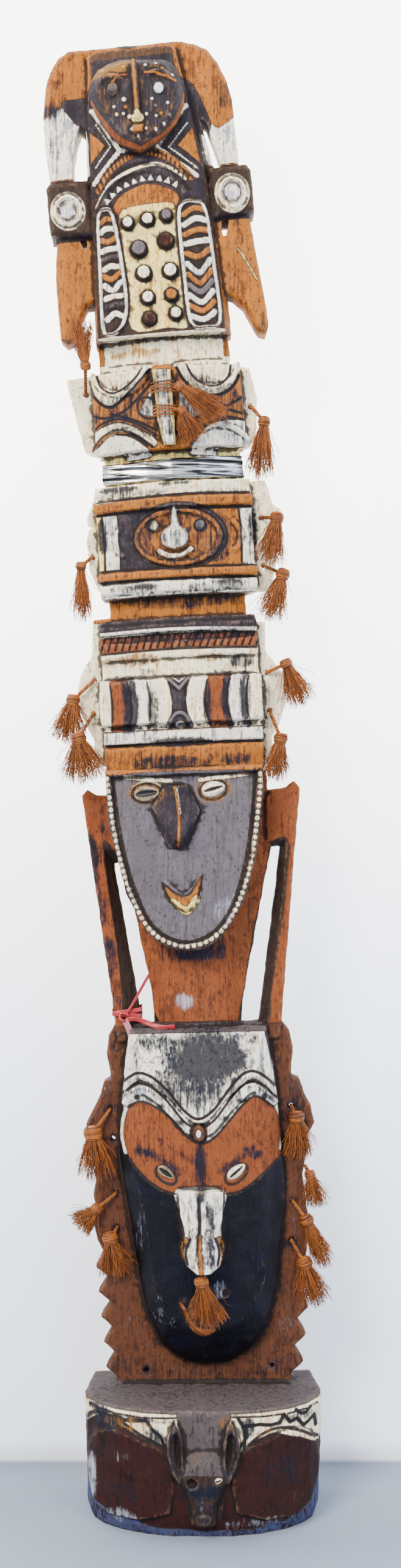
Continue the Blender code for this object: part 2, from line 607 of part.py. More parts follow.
def lobe_band():
    """Band of four lobes with a tied nose bar down its middle, and plain wings."""
    band = LOBE_BAND
    unit = LOBE_BAND_HEIGHT / 100.0

    def front(u, s):
        return crown_at(band, u)

    pieces = [block("lobe_band", band, BAND_BACK + 2.0, lap=0.0)]
    for side, name in ((-1, "left"), (1, "right")):
        upper = arc(side * 49, up(band, 102.3), 29, 31.4 * unit, 180, 360, 8)
        lower = arc(side * 52, up(band, -7.0), 34, 32.6 * unit, 20, 160, 8)
        pieces.append(ridge("upper_lobe_" + name, upper, 5.0, front, 2.5))
        pieces.append(ridge("lower_lobe_" + name, lower, 5.0, front, 2.5))
    bar = [(-7, 2.3), (5, 2.3), (6, 32.6), (5, 97.7), (-14, 97.7), (-12, 32.6)]
    pieces.append(plank("nose_bar", drawn(band, bar), BAND_CROWN - 8.0, NOSE_BAR_FRONT, 3.0))
    slots = [box("tie_slot", (-30, BAND_CROWN + 2.0, up(band, tie) - 5.0),
                 (30, BAND_CROWN + 9.0, up(band, tie) + 5.0)) for tie in NOSE_BAR_TIES]
    left = [(-82, 103.5), (-107, 101.2), (-106, 93.0), (-103, 61.6), (-93, 10.5), (-84, 4.7)]
    right = [(84, 100.0), (90, 98.8), (96, 59.3), (91, 7.0), (84, 2.3)]
    pieces.append(wing("lobe_wing_left", band, left, -70))
    pieces.append(wing("lobe_wing_right", band, right, 70))
    return pieces, slots


def torso_ring(s, left, right, flare):
    """One level of the torso: a front a little proud in the middle and sides that spread backwards."""
    return [(left - flare * 0.5, TORSO_BACK, s), (right + flare, TORSO_BACK, s), (right + flare, 32, s),
            (right, TORSO_FRONT - 5.0, s), (right - 10, TORSO_FRONT, s),
            ((left + right) / 2.0, TORSO_FRONT + TORSO_SWELL, s), (left + 10, TORSO_FRONT, s),
            (left, TORSO_FRONT - 5.0, s), (left - flare * 0.5, 32, s)]


def torso_front(u, s):
    """Depth of the torso's front, with its long edges eased."""
    return TORSO_FRONT - max(0.0, abs(u) - 48.0) * 0.35


def figure_torso():
    """The hanging figure's flat body with its cross, arches, side panels and pegs."""
    levels = [(-0.6, -68, 66, 8), (28.1, -65, 65, 7), (49.8, -60, 61, 5), (67.1, -59, 55, 6),
              (84.3, -53, 46, 6), (95.8, -50, 42, 4)]
    pieces = [loft("torso", [torso_ring(up(FIGURE, share), left, right, flare)
                             for share, left, right, flare in levels])]
    knots = [(-27, 62.0), (12, 62.0)]
    for path in ([(-52, 76.7), knots[0], (-57, 52.1)], [(47, 75.4), knots[1], (51, 51.4)], knots):
        pieces.append(ridge("cross", drawn(FIGURE, path), 5.0, torso_front, 2.0))
    unit = FIGURE_HEIGHT / 100.0
    outer = arc(-5, up(FIGURE, 48.6), 42, 10.5 * unit, 172, 8, 12)
    inner = arc(-6, up(FIGURE, 43.5), 43, 11.8 * unit, 175, 8, 12)
    pieces.append(ridge("outer_arch", outer, 9.0, torso_front, 2.5))
    pieces.append(ridge("inner_arch", inner, 5.0, torso_front, 2.5))
    for outline in ([(-57, 40.3), (-49, 42.8), (-41, 40.3), (-36, 24.0), (-35, 9.6),
                     (-43, 2.6), (-55, 0.6), (-62, 3.2), (-60, 22.4)],
                    [(28, 37.7), (34, 42.5), (46, 42.8), (57, 39.6), (61, 19.2),
                     (62, 2.6), (46, 0.6), (31, 2.6), (28, 19.2)]):
        line = smooth_loop(drawn(FIGURE, outline), 2)
        pieces.append(ridge("side_panel", line, 4.0, torso_front, 2.0, closed=True))
    pegs = [(-26, 37.4, 6.3), (-5, 38.0, 6.9), (15, 38.7, 6.0), (-17, 28.4, 8.2), (12, 30.4, 7.9),
            (-14, 20.1, 7.6), (14, 20.1, 7.6), (-12, 11.8, 6.9), (13, 12.1, 6.6), (-12, 4.8, 6.9),
            (16, 5.8, 6.6)]
    for u, share, radius in pegs:
        pieces.append(boss("peg", u, TORSO_FRONT - 5.0, up(FIGURE, share), radius, PEG_LIFT + 5.0))
    return pieces


def figure_arms():
    """Shoulders, hanging arms, cuffs with round plates and blade-like hands, cut as one board."""
    left = [(-66, 13.4), (-78, 12.5), (-85, 8.6), (-91, 3.8), (-95, 0.6), (-102, 0.0),
            (-108, 1.9), (-109, 13.4), (-108, 24.9), (-103, 36.4), (-104, 55.0),
            (-106, 68.4), (-105, 77.6), (-101, 82.4), (-98, 89.1), (-91, 93.9),
            (-82, 97.8), (-70, 99.7)]
    right = [(64, 14.1), (77, 11.8), (89, 8.0), (96, 3.5), (102, -1.3), (110, -1.9),
             (114, 1.9), (113, 13.4), (109, 28.8), (104, 37.1), (97, 55.6),
             (98, 72.2), (98, 77.3), (94, 83.7), (91, 86.3), (86, 90.7),
             (76, 95.2), (64, 97.4), (50, 99.0)]
    outline = drawn(FIGURE, left + [(-5, 100.0)] + list(reversed(right)))
    pieces = [plank("arms", outline, ARM_BACK, ARM_FRONT, 4.5)]
    for name, inner, outer, bottom, centre, middle in (
            ("left", -64, -109, 35.1, -88, 44.1), ("right", 65, 109, 37.4, 87, 45.0)):
        rim = [(inner, bottom), (outer, bottom + 1.6), (outer, 52.4), (outer * 0.96, 54.3), (inner, 54.3)]
        pieces.append(plank("cuff_" + name, drawn(FIGURE, rim), ARM_BACK - 5.0, CUFF_FRONT, 4.0))
        pieces.append(boss("plate_" + name, centre, CUFF_FRONT - 6.0, up(FIGURE, middle), DISC_RADIUS, 10.0,
                           sides=14, tall=1.12, taper=0.85))
    gaps = []
    for outline in ([(-67, 74.1), (-61, 71.6), (-64, 54.6), (-80, 54.6), (-78, 62.6),
                     (-73, 69.0)],
                    [(61, 72.2), (67, 70.9), (72, 66.1), (76, 60.1), (79, 54.6),
                     (70, 54.6), (66, 63.9)],
                    [(-79, 34.8), (-71, 34.8), (-73, 30.0)],
                    [(73, 37.1), (81, 37.1), (78, 33.9), (74, 29.4)]):
        gaps.append(plank("arm_gap", drawn(FIGURE, outline), ARM_BACK - 20.0, ARM_FRONT + 30.0))
    return pieces, gaps


HEAD_OUTLINE = smooth_loop(drawn(FIGURE, [
    (-54, 80.8), (-42, 87.9), (-17, 90.7), (8, 90.1), (32, 89.1), (43, 85.0), (48, 77.0), (41, 70.3),
    (24, 64.2), (-6, 59.1), (-29, 63.3), (-48, 72.8)]), 2)
HEAD_MIDDLE = (-3.0, up(FIGURE, 76.0))
HEAD_LEVELS = [(0.86, TORSO_FRONT - 8.0), (0.98, HEAD_RIM - 6.0), (0.97, HEAD_RIM), (0.8, HEAD_CROWN - 4.0),
               (0.4, HEAD_CROWN)]


def figure_head():
    """The heart-shaped face that juts from the torso: nose ridge, brows, eyes and mouth."""
    front = dome_depth(HEAD_OUTLINE, HEAD_MIDDLE, HEAD_LEVELS)
    pieces = [dome("head", HEAD_OUTLINE, HEAD_MIDDLE, HEAD_LEVELS)]
    nose = drawn(FIGURE, [(-3, 88.2), (-4, 76.7), (-5, 68.4)])
    pieces.append(ridge("head_nose", nose, 7.0, front, 6.0))
    pieces.append(box("head_mouth", (-11, HEAD_RIM, up(FIGURE, 63.9)),
                      (-1, HEAD_CROWN + 3.0, up(FIGURE, 66.1))))
    for side in (-1, 1):
        brow = arc(-4 + side * 25, up(FIGURE, 79.9), 14, FIGURE_HEIGHT * 0.042, 150, 30, 5)
        pieces.append(ridge("head_brow", brow, 5.0, front, 3.0))
    pieces.append(boss("head_eye_left", -27, HEAD_RIM, up(FIGURE, 78.9), 6.5, HEAD_CROWN - HEAD_RIM + 3.0))
    return pieces, front


def combine(target, others, operation):
    """Join, cut or keep what is common to solids, and give back one plain mesh object."""
    group = bpy.data.collections.new("Operands")
    bpy.context.scene.collection.children.link(group)
    for other in others:
        for owner in list(other.users_collection):
            owner.objects.unlink(other)
        group.objects.link(other)
    change = target.modifiers.new("join", "BOOLEAN")
    change.operation = operation
    change.operand_type = "COLLECTION"
    change.collection = group
    change.solver = "EXACT"
    bpy.context.view_layer.update()
    evaluated = target.evaluated_get(bpy.context.evaluated_depsgraph_get())
    mesh = bpy.data.meshes.new_from_object(evaluated)
    target.modifiers.clear()
    target.data = mesh
    for other in others:
        bpy.data.objects.remove(other, do_unlink=True)
    bpy.data.collections.remove(group)
    return target


# Faces that meet at less than this many degrees are merged once the log is one solid
FLAT_ANGLE = 8.0


def merge_flats(piece, angle):
    """Merge the slivers that joining leaves in each nearly flat face.

    Where three corners stand in one line, the faces on both sides can each leave an empty triangle
    there, and the two lie back to back, so such pairs are taken out again.
    """
    bm = bmesh.new()
    bm.from_mesh(piece.data)
    bmesh.ops.remove_doubles(bm, verts=bm.verts, dist=0.02 * MM)
    bmesh.ops.dissolve_limit(bm, angle_limit=math.radians(angle), verts=bm.verts, edges=bm.edges)
    bmesh.ops.triangulate(bm, faces=bm.faces)
    same = {}
    for face in bm.faces:
        same.setdefault(frozenset(face.verts), []).append(face)
    empty = [face for faces in same.values() if len(faces) > 1 for face in faces]
    bmesh.ops.delete(bm, geom=empty, context="FACES")
    bm.to_mesh(piece.data)
    bm.free()


def paint(piece, colour, roughness, metallic=0.0):
    """Give a piece its own surface."""
    material = bpy.data.materials.new(piece.name)
    material.use_nodes = True
    shader = material.node_tree.nodes["Principled BSDF"]
    shader.inputs["Base Color"].default_value = colour
    shader.inputs["Roughness"].default_value = roughness
    shader.inputs["Metallic"].default_value = metallic
    piece.data.materials.clear()
    piece.data.materials.append(material)


def socket_for(name, u, f, s, length, width, height, turn):
    """A hollow a little larger than the shell or bead that sits in it."""
    return bead(name, u, f, s, length + 2 * GAP, width + 2 * GAP, height + 2 * GAP, turn)


def shells(long_front, grey_front, head_front):
    """Inlaid cowries, the shell eye and the brow bead, each with its socket in the wood."""
    def muzzle(u, s):
        return BASE_FRONT + 8.5

    def bead_ring(u, s):
        return LONG_MASK_CROWN - 4.0 + BEAD_RING_HEIGHT

    rows = [
        ("cowrie_grey_left", FRAME, (-46, 92.9), grey_front, 1.0, 27.0, 16.0, 9.0, 2.0),
        ("cowrie_grey_right", FRAME, (24, 93.7), grey_front, 1.0, 25.0, 16.0, 9.0, 10.0),
        ("cowrie_long_left", PANEL, (-37, 61.0), long_front, 0.0, 20.0, 10.0, 8.0, -38.0),
        ("cowrie_long_right", PANEL, (37, 61.0), long_front, 0.0, 23.0, 11.5, 8.0, 38.0),
        ("cowrie_animal", BASE, (15, 48.8), muzzle, 0.0, 9.0, 6.0, 6.0, 15.0),
        ("shell_eye", FIGURE, (20, 78.0), head_front, 1.0, 11.0, 12.0, 7.0, 0.0),
        ("brow_bead", PANEL, BROW_BEAD_PLACE, bead_ring, 0.0, 6.0, 9.0, 6.0, 0.0)]
    made, sockets = [], []
    for name, stage, (u, share), surface, proud, length, width, height, turn in rows:
        s = up(stage, share)
        f = surface(u, s) + proud
        turn = math.radians(turn)
        made.append(bead(name, u, f, s, length, width, height, turn))
        sockets.append(socket_for("socket", u, f, s, length, width, height, turn))
    return made, sockets


def foil_strip():
    """Bright foil strip wound once round the upper neck as a repair."""
    low = UPPER_NECK.low + 4.0
    levels = [(GAP, low), (GAP + FOIL_THICKNESS, low), (GAP + FOIL_THICKNESS, low + FOIL_WIDTH),
              (GAP, low + FOIL_WIDTH)]
    rings = []
    for grow, s in levels:
        ring = []
        for u, f, z in band_ring(UPPER_NECK, s, NECK_BACK):
            away = 1.0 if u > UPPER_NECK.centre else -1.0
            across = abs(u) / UPPER_NECK.half
            ring.append((u + away * grow * across, f - grow if f == NECK_BACK else f + grow, z))
        rings.append(ring)
    return loft("foil_strip", rings, closed=True)


def arm_tie():
    """Plastic tie round the mended left arm, with its knot and two loose tails."""
    low = up(FRAME, 4.8)
    high = low + TIE_WIDTH
    rings = []
    for grow, s in ((GAP, low), (GAP + TIE_THICKNESS, low), (GAP + TIE_THICKNESS, high), (GAP, high)):
        inner, outer = -60.5 + grow, -92.5 - grow
        back, front = ARM_BOARD_BACK - grow, ARM_BOARD_FRONT + grow
        rings.append([(inner, back, s), (inner, front, s), (outer, front, s), (outer, back, s)])
    loop = loft("arm_tie", rings, closed=True)
    front = ARM_BOARD_FRONT + GAP + TIE_THICKNESS
    knot = bead("knot", -80, front + 2.5, low, 12.0, 10.0, 8.0)
    flat_tail = loft("tail", [[(u, f, s), (u, f + TIE_THICKNESS, s), (u, f + TIE_THICKNESS, s + TIE_WIDTH),
                               (u, f, s + TIE_WIDTH)]
                              for u, f, s in ((-80, front + 2.0, low - 3.0), (-55, front + 9.0, low - 9.0),
                                              (-25, front + 14.0, low - 12.0))])
    drop = plank("tail", [(-83, low - 1.0), (-77, low - 1.0), (-74, low - 10.0), (-79, low - 12.0)],
                 front + 0.4, front + 2.2)
    return combine(loop, [knot, flat_tail, drop], "UNION")


# A tassel is tied at a (u, share) place on its stage; its knot is given from there, its tip from the knot
Tassel = namedtuple("Tassel", "name stage tie knot tip spread girth depth start pierced")
# Depths at which a cord leaves the front of a wing, the nose bar and the long mask's nose
AT_WING = WING_FRONT + GAP + 2.5
AT_NOSE_BAR = NOSE_BAR_FRONT + 5.0
AT_NOSE = LONG_NOSE_TIP - 12.0
TASSELS = [
    Tassel("tassel_lobe_left", LOBE_BAND, (-87, 80.2), (3, 25), (-1, 50), 10, 6, 54, AT_WING, True),
    Tassel("tassel_lobe_right", LOBE_BAND, (88, 50.0), (13, -19), (-10, -60), 13, 7, 36, AT_WING, True),
    Tassel("tassel_face_left", FACE_BAND, (-92, 40.0), (-13, -9), (-2, -59), 10, 6, 34, AT_WING, True),
    Tassel("tassel_face_right_upper", FACE_BAND, (91, 65.8), (15, -6), (-12, -48), 14, 8, 62, AT_WING, True),
    Tassel("tassel_face_right_lower", FACE_BAND, (90, 23.3), (19, -13), (-18, -47), 13, 8, 52, AT_WING, True),
    Tassel("tassel_collar_right_upper", COLLAR, (87, 62.7), (21, 8), (16, -45), 16, 7, 40, AT_WING, True),
    Tassel("tassel_collar_right_lower", COLLAR, (88, 38.6), (10, -31), (-8, -44), 12, 8, 46, AT_WING, True),
    Tassel("tassel_collar_left_upper", COLLAR, (-97, 63.9), (-24, -21), (-10, -46), 17, 8, 38, AT_WING, True),
    Tassel("tassel_collar_left_lower", COLLAR, (-100, 42.2), (-16, -27), (7, -48), 22, 9, 58, AT_WING, True),
    Tassel("tassel_panel_left_upper", PANEL, (-97, 76.6), (-18, -23), (4, -51), 19, 11, 40, AT_WING, True),
    Tassel("tassel_panel_left_side", PANEL, (-92, 53.2), (-20, -15), (-22, -21), 14, 7, 36, AT_WING, True),
    Tassel("tassel_panel_left_lower", PANEL, (-91, 43.6), (-7, -10), (7, -41), 16, 9, 38, AT_WING, True),
    Tassel("tassel_panel_right_upper", PANEL, (98, 76.6), (5, -10), (1, -45), 15, 9, 38, AT_WING, True),
    Tassel("tassel_panel_right_side", PANEL, (111, 60.5), (5, -9), (7, -35), 11, 6, 38, AT_WING, False),
    Tassel("tassel_panel_right_middle", PANEL, (98, 50.4), (14, -18), (20, -50), 10, 8, 40, AT_WING, True),
    Tassel("tassel_panel_right_lower", PANEL, (96, 39.5), (13, -22), (13, -45), 16, 9, 38, AT_WING, True),
    Tassel("tassel_nose_bar_upper", LOBE_BAND, (4, 70.9), (10, -3), (44, -36), 12, 6, AT_NOSE_BAR + 2.0,
           AT_NOSE_BAR, False),
    Tassel("tassel_nose_bar_lower", LOBE_BAND, (5, 41.9), (8, -1), (13, -33), 12, 6, AT_NOSE_BAR - 11.0,
           AT_NOSE_BAR - 1.0, False),
    Tassel("tassel_nose", PANEL, (-1, 34.0), (0, -6), (10, -48), 17, 8, AT_NOSE, AT_NOSE, False)]
TASSEL_SIDES = 6
# Holes in the toothed panel that have lost their cords
SPARE_HOLES = [(-94, 68.3), (-61, 3.6), (74, 4.7)]


def tassel(row):
    """A raffia tassel as one closed form: twisted cord, round knot and a fan of fibres."""
    tu, ts = row.tie[0], up(row.stage, row.tie[1])
    ku, ks = tu + row.knot[0], ts + row.knot[1]
    eu, es = ku + row.tip[0], ks + row.tip[1]
    lengthwise = math.atan2(es - ks, eu - ku)
    from_tie = math.atan2(ks - ts, ku - tu)
    stations = [(tu, ts, row.start, 2.2, 2.2, from_tie),
                (ku - math.cos(from_tie) * row.girth, ks - math.sin(from_tie) * row.girth,
                 row.depth, 2.5, 2.5, from_tie),
                (ku, ks, row.depth, row.girth, row.girth * 0.8, lengthwise),
                (ku + math.cos(lengthwise) * row.girth, ks + math.sin(lengthwise) * row.girth,
                 row.depth, row.girth * 0.55, row.girth * 0.55, lengthwise),
                (ku + (eu - ku) * 0.55, ks + (es - ks) * 0.55, row.depth, row.spread * 0.75,
                 row.girth * 0.75, lengthwise),
                (eu, es, row.depth, row.spread, row.girth * 0.6, lengthwise)]
    rings = []
    for u, s, f, across, thick, heading in stations:
        rings.append([(u - math.sin(heading) * across * math.cos(a), f + thick * math.sin(a),
                       s + math.cos(heading) * across * math.cos(a))
                      for a in (2.0 * math.pi * k / TASSEL_SIDES for k in range(TASSEL_SIDES))])
    return loft(row.name, rings)


def hole_cutters():
    """Round holes through the wings, where cords are or once were tied."""
    places = drawn(PANEL, SPARE_HOLES)
    places += [(row.tie[0], up(row.stage, row.tie[1])) for row in TASSELS if row.pierced]
    length = WING_FRONT - WING_BACK + 30.0
    return [boss("hole", u, WING_BACK - 15.0, s, HOLE_RADIUS, length, sides=6, taper=1.0) for u, s in places]


def carve_totem():
    """Join every carved form of the log into one solid and cut its openings."""
    long_pieces, long_front = long_mask()
    grey_pieces, grey_front = grey_mask()
    lobe_pieces, slots = lobe_band()
    arm_pieces, gaps = figure_arms()
    head_pieces, head_front = figure_head()
    forms = [toothed_panel()] + base_humps() + animal_head() + long_pieces + open_frame() + grey_pieces
    forms += collar_band() + face_band() + lobe_pieces + figure_torso() + arm_pieces + head_pieces
    forms += [block("upper_neck", UPPER_NECK, NECK_BACK), block("lower_neck", LOWER_NECK, NECK_BACK),
              block("waist", WAIST, NECK_BACK + 1.0)]
    inlays, sockets = shells(long_front, grey_front, head_front)
    totem = combine(half_log_base(), forms, "UNION")
    animal_eye = bead("eye_hollow", -12, BASE_FRONT + 10.0, up(BASE, 46.5), 12.0, 11.0, 12.0)
    totem = combine(totem, hole_cutters() + slots + gaps + sockets + [animal_eye], "DIFFERENCE")
    merge_flats(totem, FLAT_ANGLE)
    totem.name = "totem"
    return totem, inlays


def main():
    clear_scene()
    totem, inlays = carve_totem()
    strips = [foil_strip(), arm_tie()]
    tassels = [tassel(row) for row in TASSELS]
    paint(totem, (0.42, 0.20, 0.11, 1.0), 0.75)
    for shell in inlays:
        paint(shell, (0.80, 0.74, 0.62, 1.0), 0.35)
    paint(strips[0], (0.75, 0.75, 0.77, 1.0), 0.3, 1.0)
    paint(strips[1], (0.55, 0.06, 0.08, 1.0), 0.35)
    for hank in tassels:
        paint(hank, (0.42, 0.16, 0.03, 1.0), 0.7)
    group = bpy.data.collections.new("Totem mask")
    bpy.context.scene.collection.children.link(group)
    for piece in [totem] + inlays + strips + tassels:
        bow(piece.data)
        for owner in list(piece.users_collection):
            owner.objects.unlink(piece)
        group.objects.link(piece)
        piece.data.name = piece.name
        piece.data.shade_smooth()
        piece.data.set_sharp_from_angle(angle=math.radians(32.0))


main()
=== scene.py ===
"""Dressed scene of the totem mask: carved relief, rubbed earth paints, raffia, shells, foil and ribbon.

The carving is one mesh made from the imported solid. Its finer relief and its paints are both drawn as
marks: outlines, lines and ovals at (u, s) places in millimetres on the carving before it was bowed,
u across to the viewer's right and s up from the floor. A third number, f, is the depth in front of
the board's back. Later marks cover earlier ones.
"""
import math
import random
from collections import namedtuple

import bmesh
import bpy
import numpy as np
from mathutils import Matrix, Vector, noise


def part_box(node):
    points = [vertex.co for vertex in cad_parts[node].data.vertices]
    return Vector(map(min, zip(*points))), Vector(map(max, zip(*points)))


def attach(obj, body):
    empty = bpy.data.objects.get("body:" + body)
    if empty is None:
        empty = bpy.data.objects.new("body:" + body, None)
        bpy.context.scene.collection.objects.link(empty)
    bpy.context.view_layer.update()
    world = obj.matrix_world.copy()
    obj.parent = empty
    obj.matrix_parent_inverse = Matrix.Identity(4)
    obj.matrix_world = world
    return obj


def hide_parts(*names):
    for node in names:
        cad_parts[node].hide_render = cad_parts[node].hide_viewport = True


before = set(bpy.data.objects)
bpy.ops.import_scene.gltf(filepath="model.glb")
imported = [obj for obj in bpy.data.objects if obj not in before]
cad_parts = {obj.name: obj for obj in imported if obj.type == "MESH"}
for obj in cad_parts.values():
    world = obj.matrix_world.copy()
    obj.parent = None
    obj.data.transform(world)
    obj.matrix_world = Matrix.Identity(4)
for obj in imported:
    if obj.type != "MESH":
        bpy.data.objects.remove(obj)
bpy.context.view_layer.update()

bl_info = {
    "name": "Totem mask",
    "version": (1, 0, 0),
    "blender": (4, 5, 0),
    "location": "View3D > Sidebar > Totem mask",
    "description": "Builds the carved and painted totem mask with its raffia, shells, foil and ribbon",
    "category": "Object",
}

# The carving's height as it was drawn, and the depth that its middle stands at
DRAWN_HEIGHT = 1564.5
CARVED_HEIGHT = 1562.0
MIDDLE = 54.0
# Bow of the log: its sideways lean at the top, and how late it sets in
BOW = 74.0
BOW_POWER = 2.4
# Distance in millimetres past which a paint's edge no longer matters
FAR = 8.0
# Millimetres over which a mark's raised or cut edge eases in, where it has none of its own
SOFT_EDGE = 1.6
# Share of its small triangles that a plain place keeps, and what the front and its edges keep more
PLAIN_SHARE = 0.17
FRONT_SHARE = 0.17
EDGE_SHARE = 0.50
# How far from a paint's edge, in millimetres, the triangles stay small
EDGE_REACH = 1.7
# Steps between a place that is thinned out least and one that is thinned out most
THIN_STEPS = 20
# Waves that the noise of the hand work is made of
WAVES = 9

PAINTS = ("ochre", "cream", "straw", "chalk", "ash", "soot", "navy", "oxblood", "lilac", "terracotta",
          "driftwood", "umber", "sienna")
SMUDGES = ("dark", "pale", "stain")

Mark = namedtuple("Mark", "shape paint lift soft near smudge amount")
Shape = namedtuple("Shape", "low high inside")


def metres_a_millimetre():
    """Metres to one drawn millimetre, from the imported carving's own height."""
    low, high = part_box("totem")
    return (high.z - low.z) / DRAWN_HEIGHT


UNIT = metres_a_millimetre()


def lean(s):
    """Sideways shift in millimetres and turn in radians of the log at heights s."""
    share = np.maximum(s, 0.0) / CARVED_HEIGHT
    return -BOW * share ** BOW_POWER, np.arctan(BOW * BOW_POWER / CARVED_HEIGHT * share ** (BOW_POWER - 1.0))


def place(u, f, s):
    """A drawn place as a point of the bowed carving in metres."""
    shift, turn = lean(np.float64(s))
    k = UNIT
    return Vector(((float(shift) + u * math.cos(turn)) * k, (MIDDLE - f) * k, (s + u * math.sin(turn)) * k))


def straighten(co):
    """Drawn (u, f, s) of points given in metres on the bowed carving."""
    k = UNIT
    x, f, z = co[:, 0] / k, MIDDLE - co[:, 1] / k, co[:, 2] / k
    s = z.copy()
    for _ in range(8):
        shift, turn = lean(s)
        u = (x - shift) / np.cos(turn)
        s = z - u * np.sin(turn)
    return u, f, s


def smooth_line(points, closed, each=4):
    """A Catmull-Rom curve through (u, s) points."""
    count = len(points)
    curve = []
    for i in range(count if closed else count - 1):
        if closed:
            a, b, c, d = (points[(i + k - 1) % count] for k in range(4))
        else:
            a, b, c, d = (points[min(max(i + k - 1, 0), count - 1)] for k in range(4))
        for t in (step / each for step in range(each)):
            curve.append(tuple(
                0.5 * (2 * b[k] + (c[k] - a[k]) * t + (2 * a[k] - 5 * b[k] + 4 * c[k] - d[k]) * t * t
                       + (3 * b[k] - a[k] - 3 * c[k] + d[k]) * t ** 3) for k in range(2)))
    if not closed:
        curve.append(tuple(points[-1]))
    return curve


def distance_to(points, closed):
    """Function giving the distance of (u, s) places to a run of points."""
    starts = np.array(points if closed else points[:-1], float)
    ends = np.array(points[1:] + points[:1] if closed else points[1:], float)

    def distance(u, s):
        best = np.full(len(u), 1e9)
        for (au, as_), (bu, bs) in zip(starts, ends):
            eu, es = bu - au, bs - as_
            t = np.clip(((u - au) * eu + (s - as_) * es) / max(eu * eu + es * es, 1e-9), 0.0, 1.0)
            best = np.minimum(best, (u - au - eu * t) ** 2 + (s - as_ - es * t) ** 2)
        return np.sqrt(best)
    return distance


def bounds_of(points, grow=0.0):
    across = [p[0] for p in points]
    tall = [p[1] for p in points]
    return (min(across) - grow, min(tall) - grow), (max(across) + grow, max(tall) + grow)


def area(points, curved=True):
    """A closed outline, filled."""
    points = smooth_line(points, True) if curved else list(points)
    distance = distance_to(points, True)

    def inside(u, s):
        within = np.zeros(len(u), bool)
        for (au, as_), (bu, bs) in zip(points, points[1:] + points[:1]):
            if as_ != bs:
                crosses = (as_ > s) != (bs > s)
                within ^= crosses & (u < (bu - au) * (s - as_) / (bs - as_) + au)
        gap = distance(u, s)
        return np.where(within, gap, -gap)
    low, high = bounds_of(points)
    return Shape(low, high, inside)


def corners(points):
    """A closed outline with straight sides, filled."""
    return area(points, curved=False)


def block(left, low, right, high):
    """An upright rectangle."""
    return corners([(left, low), (right, low), (right, high), (left, high)])


def line(points, width, curved=True, closed=False):
    """A stroke of one width."""
    points = smooth_line(points, closed) if curved else list(points)
    distance = distance_to(points, closed)
    low, high = bounds_of(points, width / 2.0)
    return Shape(low, high, lambda u, s: width / 2.0 - distance(u, s))


def oval(u0, s0, across, tall, turn=0.0):
    """A filled oval with the given half sizes, turned by some degrees."""
    angle = math.radians(turn)

    def inside(u, s):
        a = (u - u0) * math.cos(angle) + (s - s0) * math.sin(angle)
        b = (s - s0) * math.cos(angle) - (u - u0) * math.sin(angle)
        reach = np.sqrt((a / across) ** 2 + (b / tall) ** 2)
        slope = np.sqrt((a / across ** 2) ** 2 + (b / tall ** 2) ** 2)
        return (1.0 - reach) * reach / np.maximum(slope, 1e-6)
    size = max(across, tall)
    return Shape((u0 - size, s0 - size), (u0 + size, s0 + size), inside)


def ring(u0, s0, across, tall, width, turn=0.0):
    """The rim of an oval."""
    full = oval(u0, s0, across, tall, turn)
    low, high = (full.low[0] - width, full.low[1] - width), (full.high[0] + width, full.high[1] + width)
    return Shape(low, high, lambda u, s: width / 2.0 - np.abs(full.inside(u, s)))


def dots(places, radius):
    """Round dots of one size."""
    low, high = bounds_of(places, radius)

    def inside(u, s):
        best = np.full(len(u), -1e9)
        for du, ds in places:
            best = np.maximum(best, radius - np.hypot(u - du, s - ds))
        return best
    return Shape(low, high, inside)


def spaced(points, pitch, curved=True, closed=False):
    """Places set at an even pitch along a run of points."""
    points = smooth_line(points, closed) if curved else list(points)
    if closed:
        points = points + points[:1]
    places, left = [], 0.0
    for (au, as_), (bu, bs) in zip(points, points[1:]):
        length = math.hypot(bu - au, bs - as_)
        at = left
        while at < length:
            places.append((au + (bu - au) * at / length, as_ + (bs - as_) * at / length))
            at += pitch
        left = at - length
    return places


def teeth_along(points, pitch, tall):
    """A row of pointed teeth whose feet stand along a run of points."""
    places = spaced(points, pitch)
    outlines = []
    for (au, as_), (bu, bs) in zip(places, places[1:]):
        across, rise = bu - au, bs - as_
        length = math.hypot(across, rise)
        tip = ((au + bu) / 2.0 - rise / length * tall, (as_ + bs) / 2.0 + across / length * tall)
        outlines.append([(au, as_), (bu, bs), tip])
    shapes = [corners(outline) for outline in outlines]
    low, high = bounds_of([p for outline in outlines for p in outline])
    return Shape(low, high, lambda u, s: np.max([shape.inside(u, s) for shape in shapes], axis=0))


def flipped(shape):
    """The same shape mirrored about the middle line."""
    low, high = (-shape.high[0], shape.low[1]), (-shape.low[0], shape.high[1])
    return Shape(low, high, lambda u, s: shape.inside(-u, s))


class Drawing:
    """The carving's marks, in the order they cover one another, each kept to the depths set before it."""

    def __init__(self):
        self.marks = []
        self.near = None

    def fill(self, paint, *shapes, lift=0.0, soft=SOFT_EDGE):
        """Paint shapes and raise or cut them; with no paint they are only raised or cut."""
        self.marks += [Mark(shape, paint, lift, soft, self.near, None, 0.0) for shape in shapes]

    def rub(self, smudge, amount, soft, *shapes):
        """Rub a smudge over shapes."""
        self.marks += [Mark(shape, None, 0.0, soft, self.near, smudge, amount) for shape in shapes]

    def smudge(self, kind, *rows):
        """Rub ovals, each a row of its middle, half sizes, amount, softness and, if any, turn."""
        for u, s, across, tall, amount, soft, *turn in rows:
            self.rub(kind, amount, soft, oval(u, s, across, tall, *turn))


